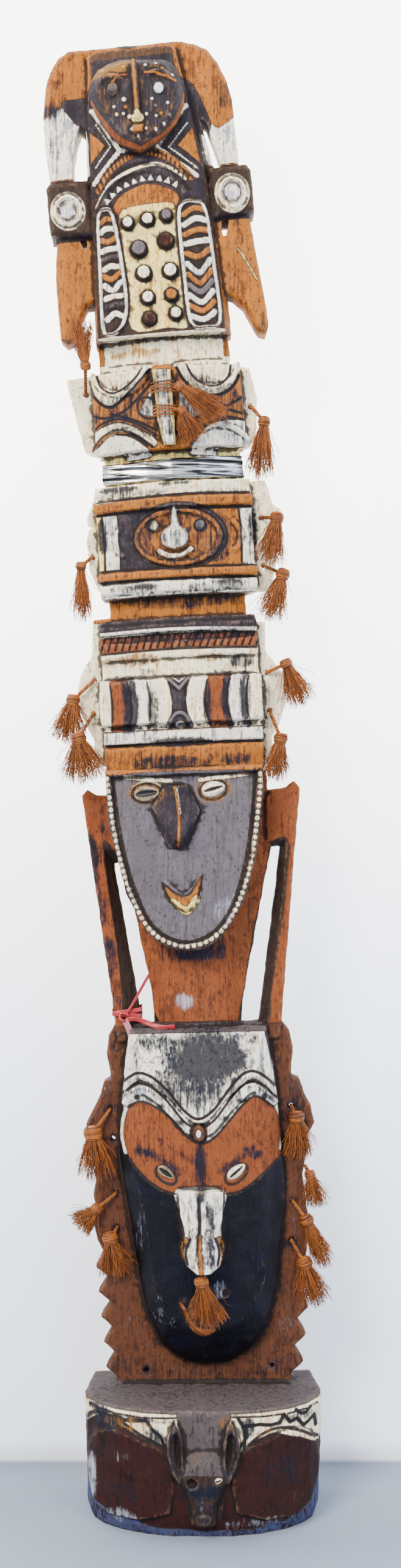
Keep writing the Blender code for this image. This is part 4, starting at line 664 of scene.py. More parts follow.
def torso_marks(draw):
    """Torso: white cross, orange triangles, arches, a toothed band, side columns and the field of pegs."""
    front = (52, 200)
    knots = [(-27, 1443), (12, 1443)]
    arms = ([(-52, 1489), knots[0]], [(47, 1485), knots[1]], knots, [knots[0], (-57, 1412)],
        [knots[1], (51, 1410)])
    draw.near = None
    draw.fill("umber", block(-90, 1249, 90, 1530))
    draw.near = front
    draw.fill("soot", block(-62, 1396, 58, 1540))
    draw.fill("ochre", corners([(-57, 1468), (-41, 1450), (-59, 1433)]),
        corners([(52, 1462), (34, 1443), (57, 1422)]), lift=0.6)
    draw.fill("chalk", line([(-49, 1473), (-36, 1449), (-54, 1429)], 1.8, curved=False),
        line([(47, 1466), (25, 1442), (54, 1417)], 1.8, curved=False), lift=0.6)
    draw.fill("chalk", dots(spaced([(-49, 1473), (-36, 1449), (-54, 1429)], 3.6, curved=False), 1.5),
        dots(spaced([(47, 1466), (25, 1442), (54, 1417)], 3.6, curved=False), 1.5))
    for path in arms:
        draw.fill("chalk", line(path, 6, curved=False), lift=0.4)
        draw.fill("chalk", dots(spaced(path, 4.2, curved=False), 3.5))
    outer = [(-52, 1404), (-40, 1421), (-27, 1431), (-6, 1440), (12, 1436), (28, 1426), (44, 1407)]
    inner = [(-56, 1387), (-44, 1404), (-28, 1416), (4, 1425), (24, 1418), (42, 1402)]
    tooth_foot = [(-46, 1386), (-36, 1397), (-24, 1404), (0, 1409), (20, 1404), (33, 1394)]
    draw.fill("ochre", line(outer, 9.5))
    draw.fill("soot", line([(u, s - 5) for u, s in outer], 1.6), lift=-0.6)
    draw.fill("cream", line(inner, 6.4))
    draw.fill("soot", line([(u, s - 5) for u, s in inner], 7), lift=-0.5)
    draw.fill("chalk", teeth_along(tooth_foot, 8.6, 8), lift=0.7)
    draw.fill("ochre", area([(-41, 1380), (-36, 1391), (-24, 1400), (-1, 1406), (19, 1400), (30, 1390),
        (28, 1376), (0, 1377), (-30, 1375)]))
    draw.fill("soot", area([(34, 1404), (55, 1402), (58, 1382), (36, 1384)]))
    draw.fill("straw", area([(-34, 1376), (-24, 1383), (15, 1385), (25, 1380), (27, 1359), (28, 1315),
        (30, 1256), (6, 1253), (-32, 1255), (-31, 1303), (-35, 1331), (-37, 1357)]))
    draw.smudge("stain", (-20, 1300, 12, 30, 0.4, 8), (20, 1330, 8, 30, 0.35, 8))
    for u in range(-52, 46, 4):
        rise = 1440 - (u + 6) ** 2 / 62
        if rise > 1404:
            draw.fill("umber", line([(u, rise - 4), (u + (u + 6) * 0.06, rise + 4.5)], 1.4, curved=False),
                lift=-0.8)
    for u, s, radius, paint in ((-26, 1366, 6.3, "chalk"), (-5, 1368, 6.9, "cream"), (15, 1370, 6, "ash"),
            (-17, 1338, 8.2, "ash"), (12, 1344, 7.9, "oxblood"), (-14, 1312, 7.6, "cream"),
            (14, 1312, 7.6, "chalk"), (-12, 1286, 6.9, "chalk"), (13, 1287, 6.6, "ochre"),
            (-12, 1264, 6.9, "oxblood"), (16, 1267, 6.6, "cream")):
        # Each peg's sides are painted umber as painted shade, and a dark oval below it and to its right is
        # its painted shadow on the torso.
        draw.near = (61.5, 200)
        draw.fill("umber", oval(u, s, radius + 1.6, radius + 1.6))
        draw.near = (68, 200)
        draw.fill(paint, oval(u, s, radius - 0.6, radius - 0.6))
        draw.near = (52, 68)
        draw.smudge("dark", (u + 2, s - 4, radius + 1, radius + 2, 0.55, 3))
    left_path = [(-57, 1375), (-49, 1383), (-41, 1375), (-36, 1324), (-35, 1279), (-43, 1257), (-55, 1251),
        (-62, 1259), (-60, 1319)]
    right_path = [(28, 1367), (34, 1382), (46, 1383), (57, 1373), (61, 1309), (62, 1257), (46, 1251),
        (31, 1257), (28, 1309)]
    column_marks(draw, left_path, [("ochre", 1371, 2), ("cream", 1361, 2), ("ochre", 1350, -1),
        ("chalk", 1340, 1), ("soot", 1331, 1), ("cream", 1321, 2), ("ochre", 1311, -2), ("chalk", 1300, -3),
        ("cream", 1290, 1), ("soot", 1281, 1), ("chalk", 1270, 3)], -56, -40, 2)
    column_marks(draw, right_path, [("ochre", 1373, 3), ("chalk", 1362, 3), ("ochre", 1351, 2),
        ("chalk", 1340, 1), ("ochre", 1327, -2), ("chalk", 1313, -5), ("ochre", 1302, -5), ("ash", 1292, -4),
        ("chalk", 1281, -4), ("ochre", 1271, -3), ("chalk", 1261, -2)], 33, 57, 3)


def figure_marks(draw):
    """The hanging figure's arms, cuffs, hands and dark face with its dots."""
    limb = (-20, 51)
    face = (66, 200)
    draw.near = limb
    draw.fill("ochre", block(-130, 1225, -64, 1580), block(64, 1225, 130, 1580))
    draw.fill("chalk", corners([(-112, 1424), (-112, 1489), (-96, 1494), (-84, 1501), (-72, 1488),
        (-60, 1474), (-58, 1424)]),
        corners([(60, 1424), (58, 1462), (70, 1468), (80, 1462), (90, 1468), (106, 1482), (110, 1424)]))
    draw.near = (-20, 58)
    draw.fill("ochre", corners([(-112, 1489), (-98, 1493), (-84, 1502), (-58, 1506), (-50, 1516), (45, 1516),
        (52, 1512), (60, 1500), (70, 1468), (80, 1462), (90, 1467), (106, 1482), (112, 1580), (-120, 1580)]))
    draw.near = limb
    draw.fill("soot", area([(-84, 1505), (-70, 1508), (-55, 1504), (-58, 1474), (-66, 1478), (-74, 1486)]),
        area([(44, 1516), (56, 1512), (66, 1490), (72, 1466), (66, 1456), (58, 1462), (50, 1490)]))
    draw.smudge("dark", (-92, 1530, 16, 20, 0.34, 9, 20), (-96, 1498, 14, 10, 0.75, 7),
        (92, 1496, 14, 16, 0.62, 8), (86, 1532, 14, 18, 0.34, 8), (-92, 1340, 12, 14, 0.34, 8),
        (88, 1350, 8, 20, 0.45, 7), (76, 1300, 5, 24, 0.5, 5))
    draw.near = None
    draw.smudge("dark", (0, 1560, 90, 5, 0.45, 5))
    draw.near = limb
    draw.smudge("dark", (-96, 1450, 6, 22, 0.35, 6), (84, 1446, 6, 18, 0.35, 6))
    for side, u, s, low in ((-1, -88, 1387, 1358), (1, 87, 1390, 1366)):
        left, right = (-112, -62) if side < 0 else (62, 112)
        draw.near = None
        draw.fill("umber", block(left, low - 1, right, 1422))
        # Painted shade along the cuff's lower edge, where its underside shows.
        draw.rub("dark", 0.7, 3, block(left, low - 1, right, low + 5))
        draw.near = (52, 200)
        draw.fill("cream", oval(u, s, 19, 21))
        draw.smudge("stain", (u + 4, s - 4, 19, 20, 0.32, 6))
        draw.fill("chalk", oval(u, s, 11.5, 13), lift=-0.8, soft=2)
        draw.smudge("pale", (u, s, 10, 11.5, 0.55, 4))
        draw.smudge("dark", (u - 7, s - 10, 12, 7, 0.3, 4))
        draw.rub("dark", 0.45, 1.5, ring(u, s, 12.2, 13.8, 0.8))
    draw.near = limb
    draw.fill("straw", line([(88, 1334), (97, 1318), (105, 1300)], 2.2))
    draw.fill(None, line([(-98, 1330), (-99, 1300), (-100, 1268)], 1.4),
        line([(98, 1340), (104, 1300), (106, 1262)], 1.4), lift=-0.7)
    draw.near = face
    draw.fill("soot", area([(-56, 1502), (-42, 1528), (-17, 1534), (32, 1531), (44, 1515), (49, 1490),
        (42, 1469), (24, 1449), (-6, 1433), (-30, 1446), (-49, 1476), (-55, 1494)]))
    draw.fill("sienna", line([(-53, 1492), (-46, 1477), (-28, 1450), (-6, 1437)], 5),
        line([(47, 1490), (40, 1471), (24, 1452), (-2, 1438)], 4))
    draw.smudge("stain", (-26, 1520, 24, 10, 0.75, 8, 10), (26, 1516, 22, 10, 0.3, 8, -10),
        (-4, 1484, 44, 46, 0.3, 10))
    draw.fill("ochre", line([(-3, 1530), (-4, 1500), (-5, 1466)], 4), lift=1.2)
    draw.fill("straw", oval(-5, 1465, 7.5, 6), lift=1.6, soft=3)
    draw.fill("ochre", corners([(-11, 1459), (1, 1459), (0, 1449), (-12, 1449)]), lift=1.2)
    draw.fill("driftwood", oval(-27, 1498, 6, 5.6), lift=1.6, soft=2.6)
    draw.fill("soot", ring(20, 1494, 8.2, 8.8, 2.4), lift=-0.6)
    draw.fill("sienna", line([(-27, 1504), (-20, 1510), (-12, 1511)], 3.6), lift=1.2)
    draw.fill("ochre", line([(8, 1511), (22, 1508), (38, 1501)], 3.8), lift=1.2)
    draw.fill("chalk", dots([(-14, 1520), (9, 1520), (20, 1521), (19, 1529), (36, 1507), (12, 1483),
        (28, 1478), (15, 1466), (5, 1468), (-19, 1471), (-28, 1479), (22, 1458), (13, 1453), (-12, 1454),
        (3, 1454), (-6, 1447)], 2.1), dots([(-13, 1467), (-17, 1485), (-36, 1520)], 2.8), lift=1.1, soft=1.8)
    draw.fill("ochre", dots([(-16, 1477), (26, 1514), (20, 1468)], 2.3), lift=1.1, soft=1.8)
    draw.fill("ash", dots([(15, 1476), (29, 1466)], 2.2), lift=1.1, soft=1.8)
    draw.fill("straw", dots([(-26, 1471)], 2.2), lift=1.1, soft=1.8)
    draw.near = None
    draw.fill("umber", area([(-18, 1562), (2, 1563), (0, 1556), (-14, 1556)]))


def weathering_marks(draw):
    """Rubbed dark and yellowed patches on the bands of the neck stages, and a painted shadow under the round
    face band.
    """
    # The dark row at (0, 968) is painted shadow under the round face band.
    dark = ((-60, 1089, 22, 4, 0.86), (2, 1091, 20, 3, 0.78), (50, 984, 18, 4, 0.83), (-40, 983, 20, 4, 0.83),
            (-80, 1040, 7, 20, 0.78), (82, 1040, 6, 20, 0.78), (-8, 817, 34, 6, 0.83), (60, 900, 14, 8, 0.70),
            (-40, 893, 12, 5, 0.64), (-62, 848, 7, 22, 0.73), (-35, 850, 7, 24, 0.73), (22, 855, 6, 24, 0.70),
            (62, 860, 7, 24, 0.78), (-22, 795, 40, 9, 0.70), (48, 797, 18, 7, 0.68), (8, 1036, 56, 34, 0.52),
            (-34, 1042, 12, 26, 0.64), (40, 1020, 16, 16, 0.64), (0, 1172, 84, 36, 0.54),
            (0, 928, 84, 7, 0.64), (0, 968, 60, 10, 0.58))
    stain = ((-50, 906, 24, 8, 0.70), (30, 905, 16, 6, 0.64), (-30, 1233, 30, 6, 0.64))
    draw.near = (20, 200)
    for kind, rows in (("dark", dark), ("stain", stain)):
        draw.smudge(kind, *(row + (3,) for row in rows))


def all_marks():
    """Every mark of the carving, from the ground up, in the order they cover one another."""
    draw = Drawing()
    for stage in (base_marks, panel_marks, frame_marks, long_mask_marks, collar_marks, face_band_marks,
                  grey_mask_marks, lobe_band_marks, torso_marks, figure_marks, weathering_marks):
        stage(draw)
    return draw.marks


def ease(t):
    t = np.clip(t, 0.0, 1.0)
    return t * t * (3.0 - 2.0 * t)


def near_part(item, u, f, s, margin):
    """Which places lie close to a mark's outline and depth."""
    (low_u, low_s), (high_u, high_s) = item.shape.low, item.shape.high
    chosen = (u > low_u - margin) & (u < high_u + margin) & (s > low_s - margin) & (s < high_s + margin)
    if item.near:
        chosen &= (f > item.near[0] - margin) & (f < item.near[1] + margin)
    return np.nonzero(chosen)[0]


def inside_of(item, u, f, s):
    """Signed distance inside a mark, its depth range taken with it."""
    inside = item.shape.inside(u, s)
    if item.near:
        inside = np.minimum(inside, np.minimum(f - item.near[0], item.near[1] - f))
    return inside


def relief(marks, u, f, s):
    """How far each place stands out because of the marks, in millimetres."""
    lift = np.zeros(len(u))
    for item in marks:
        if item.lift:
            chosen = near_part(item, u, f, s, 0.0)
            lift[chosen] += item.lift * ease(inside_of(item, u[chosen], f[chosen], s[chosen]) / item.soft)
    return lift


def paint_fields(marks, u, f, s):
    """Signed distance to each paint's edge, and how much of each smudge lies on each place."""
    fields = {paint: np.full(len(u), -FAR, np.float32) for paint in PAINTS}
    smudges = {kind: np.zeros(len(u), np.float32) for kind in SMUDGES}
    for item in marks:
        if item.paint:
            chosen = near_part(item, u, f, s, FAR)
            inside = np.clip(inside_of(item, u[chosen], f[chosen], s[chosen]), -FAR, FAR)
            for paint, field in fields.items():
                if paint == item.paint:
                    field[chosen] = np.maximum(field[chosen], inside)
                else:
                    field[chosen] = np.minimum(field[chosen], -inside)
        if item.smudge:
            chosen = near_part(item, u, f, s, item.soft)
            inside = inside_of(item, u[chosen], f[chosen], s[chosen])
            amount = item.amount * ease(0.5 + inside / (2.0 * item.soft))
            kept = smudges[item.smudge]
            kept[chosen] = np.maximum(kept[chosen], amount)
    return fields, smudges


def vertex_array(mesh, name):
    values = np.zeros(len(mesh.vertices) * 3, np.float32)
    mesh.vertices.foreach_get(name, values)
    return values.reshape(-1, 3).astype(float)


def edge_ends(mesh):
    """The two vertex numbers of every edge."""
    ends = np.zeros(len(mesh.edges) * 2, np.int32)
    mesh.edges.foreach_get("vertices", ends)
    return ends.reshape(-1, 2)


def put_attribute(mesh, name, values):
    attribute = mesh.attributes.new(name, "FLOAT", "POINT")
    attribute.data.foreach_set("value", np.asarray(values, np.float32))


def in_scene(name, data):
    """A new object for a mesh, curve, light or camera, put in the scene."""
    made = bpy.data.objects.new(name, data)
    bpy.context.scene.collection.objects.link(made)
    return made


def mesh_from(bm, name):
    """The mesh that a finished bmesh makes."""
    mesh = bpy.data.meshes.new(name)
    bm.to_mesh(mesh)
    bm.free()
    return mesh


def merged_copy(node, name):
    """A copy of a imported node's mesh with its loose triangles joined."""
    piece = in_scene(name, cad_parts[node].data.copy())
    bm = bmesh.new()
    bm.from_mesh(piece.data)
    bmesh.ops.remove_doubles(bm, verts=bm.verts, dist=1e-6)
    bm.to_mesh(piece.data)
    bm.free()
    piece.data.materials.clear()
    for attribute in list(piece.data.attributes):
        if not attribute.is_required and attribute.name != "material_index":
            piece.data.attributes.remove(attribute)
    return piece


def apply_modifiers(piece):
    """Replace a piece's mesh with what its modifiers make of it."""
    bpy.context.view_layer.update()
    shown = piece.evaluated_get(bpy.context.evaluated_depsgraph_get())
    mesh = bpy.data.meshes.new_from_object(shown)
    mesh.validate()
    piece.modifiers.clear()
    old = piece.data
    piece.data = mesh
    bpy.data.meshes.remove(old)


def chisel_noise(co, size, seed):
    """Soft noise over points in metres, made from a few rotated waves."""
    picker = np.random.default_rng(seed)
    total = np.zeros(len(co))
    for _ in range(WAVES):
        direction = picker.normal(size=3)
        direction /= np.linalg.norm(direction)
        scale = size * picker.uniform(0.6, 1.7)
        bend = picker.normal(size=3) / scale * 3.0
        wave = co @ direction * 2.0 * math.pi / scale
        total += np.sin(wave + 1.3 * np.sin(co @ bend) + picker.uniform(0, 6.28))
    return total / WAVES ** 0.5


def neighbour_mean(mesh, values, rounds):
    """Average values over each vertex's neighbours a number of times."""
    ends, count = edge_ends(mesh), len(mesh.vertices)
    neighbours = np.maximum(np.bincount(ends.ravel(), minlength=count), 1).astype(float)[:, None]
    for _ in range(rounds):
        values = np.stack([np.bincount(ends[:, 0], column[ends[:, 1]], count)
                           + np.bincount(ends[:, 1], column[ends[:, 0]], count) for column in values.T],
                          axis=1) / neighbours
    return values


def cut_relief(mesh, marks, u, f, s, settings):
    """Cut a fine mesh by the marks and uneven hand work; gives its places and how much each faces front."""
    co, normal = vertex_array(mesh, "co"), vertex_array(mesh, "normal")
    front = ease((-normal[:, 1] - 0.25) / 0.5)
    worn = chisel_noise(co, 0.030, 4) * 0.35 + chisel_noise(co, 0.011, 9) * 0.16
    co[:, 1] -= relief(marks, u, f, s) * front * settings.relief_depth * UNIT
    co += normal * (worn * UNIT * settings.hand_work)[:, None]
    co[:, 2] = np.maximum(co[:, 2], 0.0)
    mesh.vertices.foreach_set("co", co.ravel().astype(np.float32))
    mesh.update()
    return co, front


def thin_out(piece, keep, triangles):
    """Join triangles down to a number, the fewer of them where more is to be kept."""
    thin = piece.vertex_groups.new(name="thin")
    steps = np.round((1.0 - keep) * THIN_STEPS).astype(int)
    for step in range(THIN_STEPS + 1):
        chosen = np.nonzero(steps == step)[0].tolist()
        if chosen:
            thin.add(chosen, step / THIN_STEPS, "REPLACE")
    fewer = piece.modifiers.new("fewer", "DECIMATE")
    fewer.ratio = min(1.0, triangles / (2.0 * len(piece.data.polygons)))
    fewer.vertex_group = "thin"
    fewer.vertex_group_factor = 1.0
    apply_modifiers(piece)
    piece.vertex_groups.clear()


def carve(settings):
    """The carving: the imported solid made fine, given its relief, thinned again and painted."""
    piece = merged_copy("totem", "carving")
    fine = piece.modifiers.new("fine", "REMESH")
    fine.mode = "VOXEL"
    fine.voxel_size = settings.carving_step
    apply_modifiers(piece)
    mesh = piece.data
    marks = all_marks()
    u, f, s = straighten(vertex_array(mesh, "co"))
    co, front = cut_relief(mesh, marks, u, f, s, settings)
    bend = ((neighbour_mean(mesh, co, 5) - co) * vertex_array(mesh, "normal")).sum(1) / UNIT
    put_attribute(mesh, "hollow", np.clip(bend, -1.5, 1.5))
    # Small triangles are kept along paint edges and cuts, and the plain back gets large ones
    edge = np.max(list(paint_fields(marks, u, f, s)[0].values()), axis=0)
    sharp = np.maximum(np.exp(-(edge / EDGE_REACH) ** 2), ease((np.abs(bend) - 0.12) / 0.3) * 0.6)
    keep = PLAIN_SHARE + FRONT_SHARE * front + EDGE_SHARE * sharp * front
    thin_out(piece, keep, settings.carving_triangles)
    mesh = piece.data
    fields, smudges = paint_fields(marks, *straighten(vertex_array(mesh, "co")))
    for paint, field in fields.items():
        put_attribute(mesh, "paint_" + paint, field)
    for kind, amount in smudges.items():
        put_attribute(mesh, "smudge_" + kind, amount)
    put_attribute(mesh, "bare", ease((vertex_array(mesh, "normal")[:, 1] - 0.2) / 0.5))
    mesh.shade_smooth()
    return piece


# Raffia in millimetres: radii of a fibre and of a cord's ply, and how deep in the board a cord starts
FIBRE_RADIUS = 0.36
PLY_RADIUS = 0.95
THROUGH_DEPTH = 20.0
# A cord's plies, the radius and pitch of their twist, and how far it bows outwards
ROPE_PLIES = 3
ROPE_RADIUS = 1.25
ROPE_PITCH = 9.0
ROPE_SAG = 0.8
# Share of the fibres that stand out of their fan
STRAY_SHARE = 0.16

# Raffia tassels: name, tie, knot, tip, half width at the tip, knot radius, depths of fan and of tie,
# and whether the cord comes through a hole in the board
Tassel = namedtuple("Tassel", "name tie knot tip spread girth depth start pierced")
TASSELS = [Tassel(*row) for row in (
    ("tassel_lobe_left", (-87, 1197), (-84, 1222), (-85, 1272), 10, 6, 54, 31, True),
    ("tassel_lobe_right", (88, 1171), (101, 1152), (91, 1092), 13, 7, 36, 31, True),
    ("tassel_face_left", (-92, 1021), (-105, 1012), (-107, 953), 10, 6, 34, 31, True),
    ("tassel_face_right_upper", (91, 1052), (106, 1046), (94, 998), 14, 8, 62, 31, True),
    ("tassel_face_right_lower", (90, 1001), (109, 988), (91, 941), 13, 8, 52, 31, True),
    ("tassel_collar_right_upper", (87, 887), (108, 895), (124, 850), 16, 7, 40, 31, True),
    ("tassel_collar_right_lower", (88, 847), (98, 816), (90, 772), 12, 8, 46, 31, True),
    ("tassel_collar_left_upper", (-97, 889), (-121, 868), (-131, 822), 17, 8, 38, 31, True),
    ("tassel_collar_left_lower", (-100, 853), (-116, 826), (-109, 778), 22, 9, 58, 31, True),
    ("tassel_panel_left_upper", (-97, 424), (-115, 401), (-111, 350), 19, 11, 40, 31, True),
    ("tassel_panel_left_side", (-92, 334), (-112, 319), (-134, 298), 14, 7, 36, 31, True),
    ("tassel_panel_left_lower", (-91, 297), (-98, 287), (-91, 246), 16, 9, 38, 31, True),
    ("tassel_panel_right_upper", (98, 424), (103, 414), (104, 369), 15, 9, 38, 31, True),
    ("tassel_panel_right_side", (111, 362), (116, 353), (123, 318), 11, 6, 38, 31, False),
    ("tassel_panel_right_middle", (98, 323), (112, 305), (132, 255), 10, 8, 40, 31, True),
    ("tassel_panel_right_lower", (96, 281), (109, 259), (122, 214), 16, 9, 38, 31, True),
    ("tassel_nose_bar_upper", (4, 1189), (14, 1186), (58, 1150), 12, 6, 84, 82, False),
    ("tassel_nose_bar_lower", (5, 1164), (13, 1163), (26, 1130), 12, 6, 71, 81, False),
    ("tassel_nose", (-1, 260), (-1, 254), (9, 206), 17, 8, 92, 92, False))]


def tube(name, strands, radius, sides=0):
    """One mesh of thin tubes along runs of drawn (u, f, s) points."""
    curve = bpy.data.curves.new(name, "CURVE")
    curve.dimensions = "3D"
    curve.bevel_depth = radius * UNIT
    curve.bevel_resolution = sides
    curve.use_fill_caps = True
    for strand in strands:
        spline = curve.splines.new("POLY")
        spline.points.add(len(strand) - 1)
        for point, (u, f, s, *size) in zip(spline.points, strand):
            point.co = (*place(u, f, s), 1.0)
            point.radius = size[0] if size else 1.0
    holder = in_scene(name, curve)
    bpy.context.view_layer.update()
    shown = holder.evaluated_get(bpy.context.evaluated_depsgraph_get())
    mesh = bpy.data.meshes.new_from_object(shown)
    bpy.data.objects.remove(holder, do_unlink=True)
    bpy.data.curves.remove(curve)
    return mesh


def strand_shades(mesh, seed):
    """Give each loose tube of a mesh its own shade."""
    picker = random.Random(seed)
    parent = list(range(len(mesh.vertices)))

    def root(i):
        while parent[i] != i:
            parent[i] = parent[parent[i]]
            i = parent[i]
        return i
    for a, b in edge_ends(mesh).tolist():
        a, b = root(a), root(b)
        if a != b:
            parent[b] = a
    shades = {}
    put_attribute(mesh, "shade", [shades.setdefault(root(i), picker.random()) for i in range(len(parent))])


def joined(name, meshes):
    """One object from several meshes."""
    bm = bmesh.new()
    for mesh in meshes:
        bm.from_mesh(mesh)
        bpy.data.meshes.remove(mesh)
    piece = in_scene(name, mesh_from(bm, name))
    piece.data.shade_smooth()
    return piece


def heading(row):
    """A tassel's length from knot to tip, its way down and the way across it."""
    (ku, ks), (eu, es) = row.knot, row.tip
    length = math.hypot(eu - ku, es - ks)
    along = ((eu - ku) / length, (es - ks) / length)
    return length, along, (-along[1], along[0])


def fibres(row, picker, count):
    """The fan of fibres below a tassel's knot."""
    ku, ks = row.knot
    length, along, side = heading(row)
    strands = []
    narrow = row.girth * 0.42
    for _ in range(count):
        turn = picker.uniform(0.0, 2.0 * math.pi)
        out = math.sqrt(picker.random())
        across, deep = math.cos(turn) * out, math.sin(turn) * out
        stray = picker.random() < STRAY_SHARE
        spill = 1.35 if stray else 1.12
        reach = picker.uniform(0.70, 1.06) if not stray else picker.uniform(0.45, 1.12)
        reach *= 1.0 - 0.12 * abs(across)
        wave, phase, amount = picker.uniform(1.0, 2.8), picker.uniform(0.0, 6.28), picker.uniform(0.4, 2.0)
        swing = picker.uniform(-3.5, 3.5) * (2.2 if stray else 1.0)
        strand = []
        for step in range(8):
            t = step / 7.0
            wide = narrow + (row.spread * spill - narrow) * t ** 0.85
            thick = row.girth * (0.42 + 0.30 * t)
            wobble = math.sin(wave * t * 6.28 + phase) * amount * t
            a = across * wide + wobble + swing * t * t
            d = deep * thick + math.cos(wave * t * 5.0 + phase) * amount * 0.6 * t
            at = length * reach * t
            strand.append((ku + along[0] * at + side[0] * a, row.depth + d, ks + along[1] * at + side[1] * a,
                           picker.uniform(0.7, 1.1) * (1.0 - 0.35 * t)))
        strands.append(strand)
    return strands


def knot_turns(row, picker):
    """Fibres wound round a tassel's neck into a knot."""
    ku, ks = row.knot
    along, side = heading(row)[1:]
    strands = []
    for turn in range(14):
        level = -0.75 + 1.5 * turn / 13.0
        size = row.girth * 0.86 * math.sqrt(max(1.0 - level * level * 0.8, 0.1))
        tip = picker.uniform(-0.5, 0.5)
        strand = []
        for step in range(15):
            a = 2.0 * math.pi * step / 14.0
            up = level * row.girth * 0.8 + math.sin(a + turn) * tip * 2.0
            wide = size + picker.uniform(-0.35, 0.35)
            out = math.cos(a) * wide
            strand.append((ku + along[0] * up + side[0] * out, row.depth + math.sin(a) * wide * 0.8,
                           ks + along[1] * up + side[1] * out, 1.0))
        strands.append(strand)
    return strands


def rope(start, end):
    """A twisted cord between two drawn places, as its plies."""
    length = math.dist(start, end)
    ahead = Vector([(b - a) / max(length, 1e-6) for a, b in zip(start, end)])
    across = ahead.cross(Vector((0.0, 1.0, 0.0)))
    if across.length < 0.1:
        across = ahead.cross(Vector((1.0, 0.0, 0.0)))
    across.normalize()
    other = ahead.cross(across)
    steps = max(6, int(length / 1.6))
    strands = []
    for ply in range(ROPE_PLIES):
        strand = []
        for step in range(steps + 1):
            t = step / steps
            a = 2.0 * math.pi * (ply / ROPE_PLIES + t * length / ROPE_PITCH)
            sag = math.sin(t * math.pi) * ROPE_SAG
            offset = (across * math.cos(a) + other * math.sin(a)) * ROPE_RADIUS
            strand.append(tuple(start[k] + (end[k] - start[k]) * t + offset[k] + (sag if k == 1 else 0.0)
                                for k in range(3)) + (1.0,))
        strands.append(strand)
    return strands


def make_tassel(row, settings):
    """A hank of raffia: twisted cord from its hole, a wound knot and a fan of fibres."""
    picker = random.Random(row.name)
    count = int(settings.fibres * (0.6 + row.spread / 28.0))
    fan = fibres(row, picker, count)
    (tu, ts), (ku, ks) = row.tie, row.knot
    hole = (tu, row.start, ts)
    cord = rope(hole, (ku, row.depth, ks))
    meshes = [tube("fan", fan, FIBRE_RADIUS), tube("knot", knot_turns(row, picker), 0.8, 1),
              tube("cord", cord, PLY_RADIUS, 1)]
    if row.pierced:
        meshes.append(tube("through", rope((tu, THROUGH_DEPTH, ts), hole), PLY_RADIUS, 1))
    if row.name.startswith("tassel_nose_bar"):
        meshes.append(tube("lashing", lashing(row, picker), 0.9, 1))
    piece = joined(row.name, meshes + [knot_core(row)])
    strand_shades(piece.data, row.name)
    return piece


def lashing(row, picker):
    """Turns of raffia round the nose bar."""
    strands = []
    for turn in range(4):
        s = row.tie[1] - 5.0 + 3.2 * turn
        tilt = picker.uniform(-1.0, 1.0)
        strands.append([(-15, 60, s + tilt), (-16, 72, s), (-12, 79, s - tilt), (-4, 80, s),
                        (4, 79, s + tilt), (8, 72, s), (7, 60, s - tilt)])
    return strands


def knot_core(row):
    """A plain egg inside the knot, so that no light shows through it."""
    bm = bmesh.new()
    bmesh.ops.create_uvsphere(bm, u_segments=10, v_segments=6, radius=1.0)
    size = row.girth * 0.8 * UNIT
    centre = place(row.knot[0], row.depth, row.knot[1])
    for vertex in bm.verts:
        vertex.co = centre + Vector((vertex.co.x * size, vertex.co.y * size * 0.8, vertex.co.z * size))
    return mesh_from(bm, "core")


# Cowries: name, place, length, width, height, turn in degrees, and how open the slit is
Cowrie = namedtuple("Cowrie", "name u s length width height turn slit")
COWRIES = [
    Cowrie("cowrie_grey_left", -46, 764, 27, 16, 9, 2, 3.4),
    Cowrie("cowrie_grey_right", 24, 766, 25, 16, 9, 10, 1.3),
    Cowrie("cowrie_long_left", -37, 364, 20, 10, 8, -38, 1.9),
    Cowrie("cowrie_long_right", 37, 364, 23, 11.5, 8, 38, 1.0),
    Cowrie("cowrie_animal", 15, 63, 9, 6, 6, 15, 0.7)]
# Millimetres from one tooth of a cowrie's slit to the next
TOOTH_PITCH = 1.7


def make_shell(row):
    """A cowrie set mouth outwards: an egg with a toothed slit along it."""
    low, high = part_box(row.name)
    centre = (low + high) / 2.0
    bm = bmesh.new()
    bmesh.ops.create_uvsphere(bm, u_segments=72, v_segments=48, radius=0.5)
    turn = math.radians(row.turn) + float(lean(np.float64(row.s))[1])
    slits = []
    for vertex in bm.verts:
        along, out, over = vertex.co.x * 2.0, -vertex.co.y * 2.0, vertex.co.z * 2.0
        front = max(out, 0.0)
        half = row.width / 2.0
        curve = 0.10 * along
        gap = abs(over - curve) * half
        open_share = max(1.0 - along * along * 1.15, 0.0)
        width = row.slit * (0.35 + 0.65 * open_share)
        groove = math.exp(-(gap / width) ** 2) * front * min(open_share * 3.0, 1.0)
        rib = math.cos(along * row.length * math.pi / TOOTH_PITCH)
        band = math.exp(-((gap - width * 1.5) / (width * 0.9)) ** 2) * front * min(open_share * 3.0, 1.0)
        depth = -groove * row.height * 0.42 + rib * band * 0.28
        taper = 1.0 - 0.16 * along
        vertex.co = (along * row.length / 2.0, -(out * row.height / 2.0 + depth), over * half * taper)
        # Marks the slit and the gaps between the teeth for painted shade.
        slits.append(min(groove * 1.25 + (0.45 * band if rib < 0.0 else 0.0), 1.0))
    bm.verts.index_update()
    mesh = mesh_from(bm, row.name)
    put_attribute(mesh, "slit", slits)
    mesh.transform(Matrix.Translation(centre) @ Matrix.Rotation(-turn, 4, "Y") @ Matrix.Scale(UNIT, 4))
    mesh.shade_smooth()
    return in_scene(row.name, mesh)


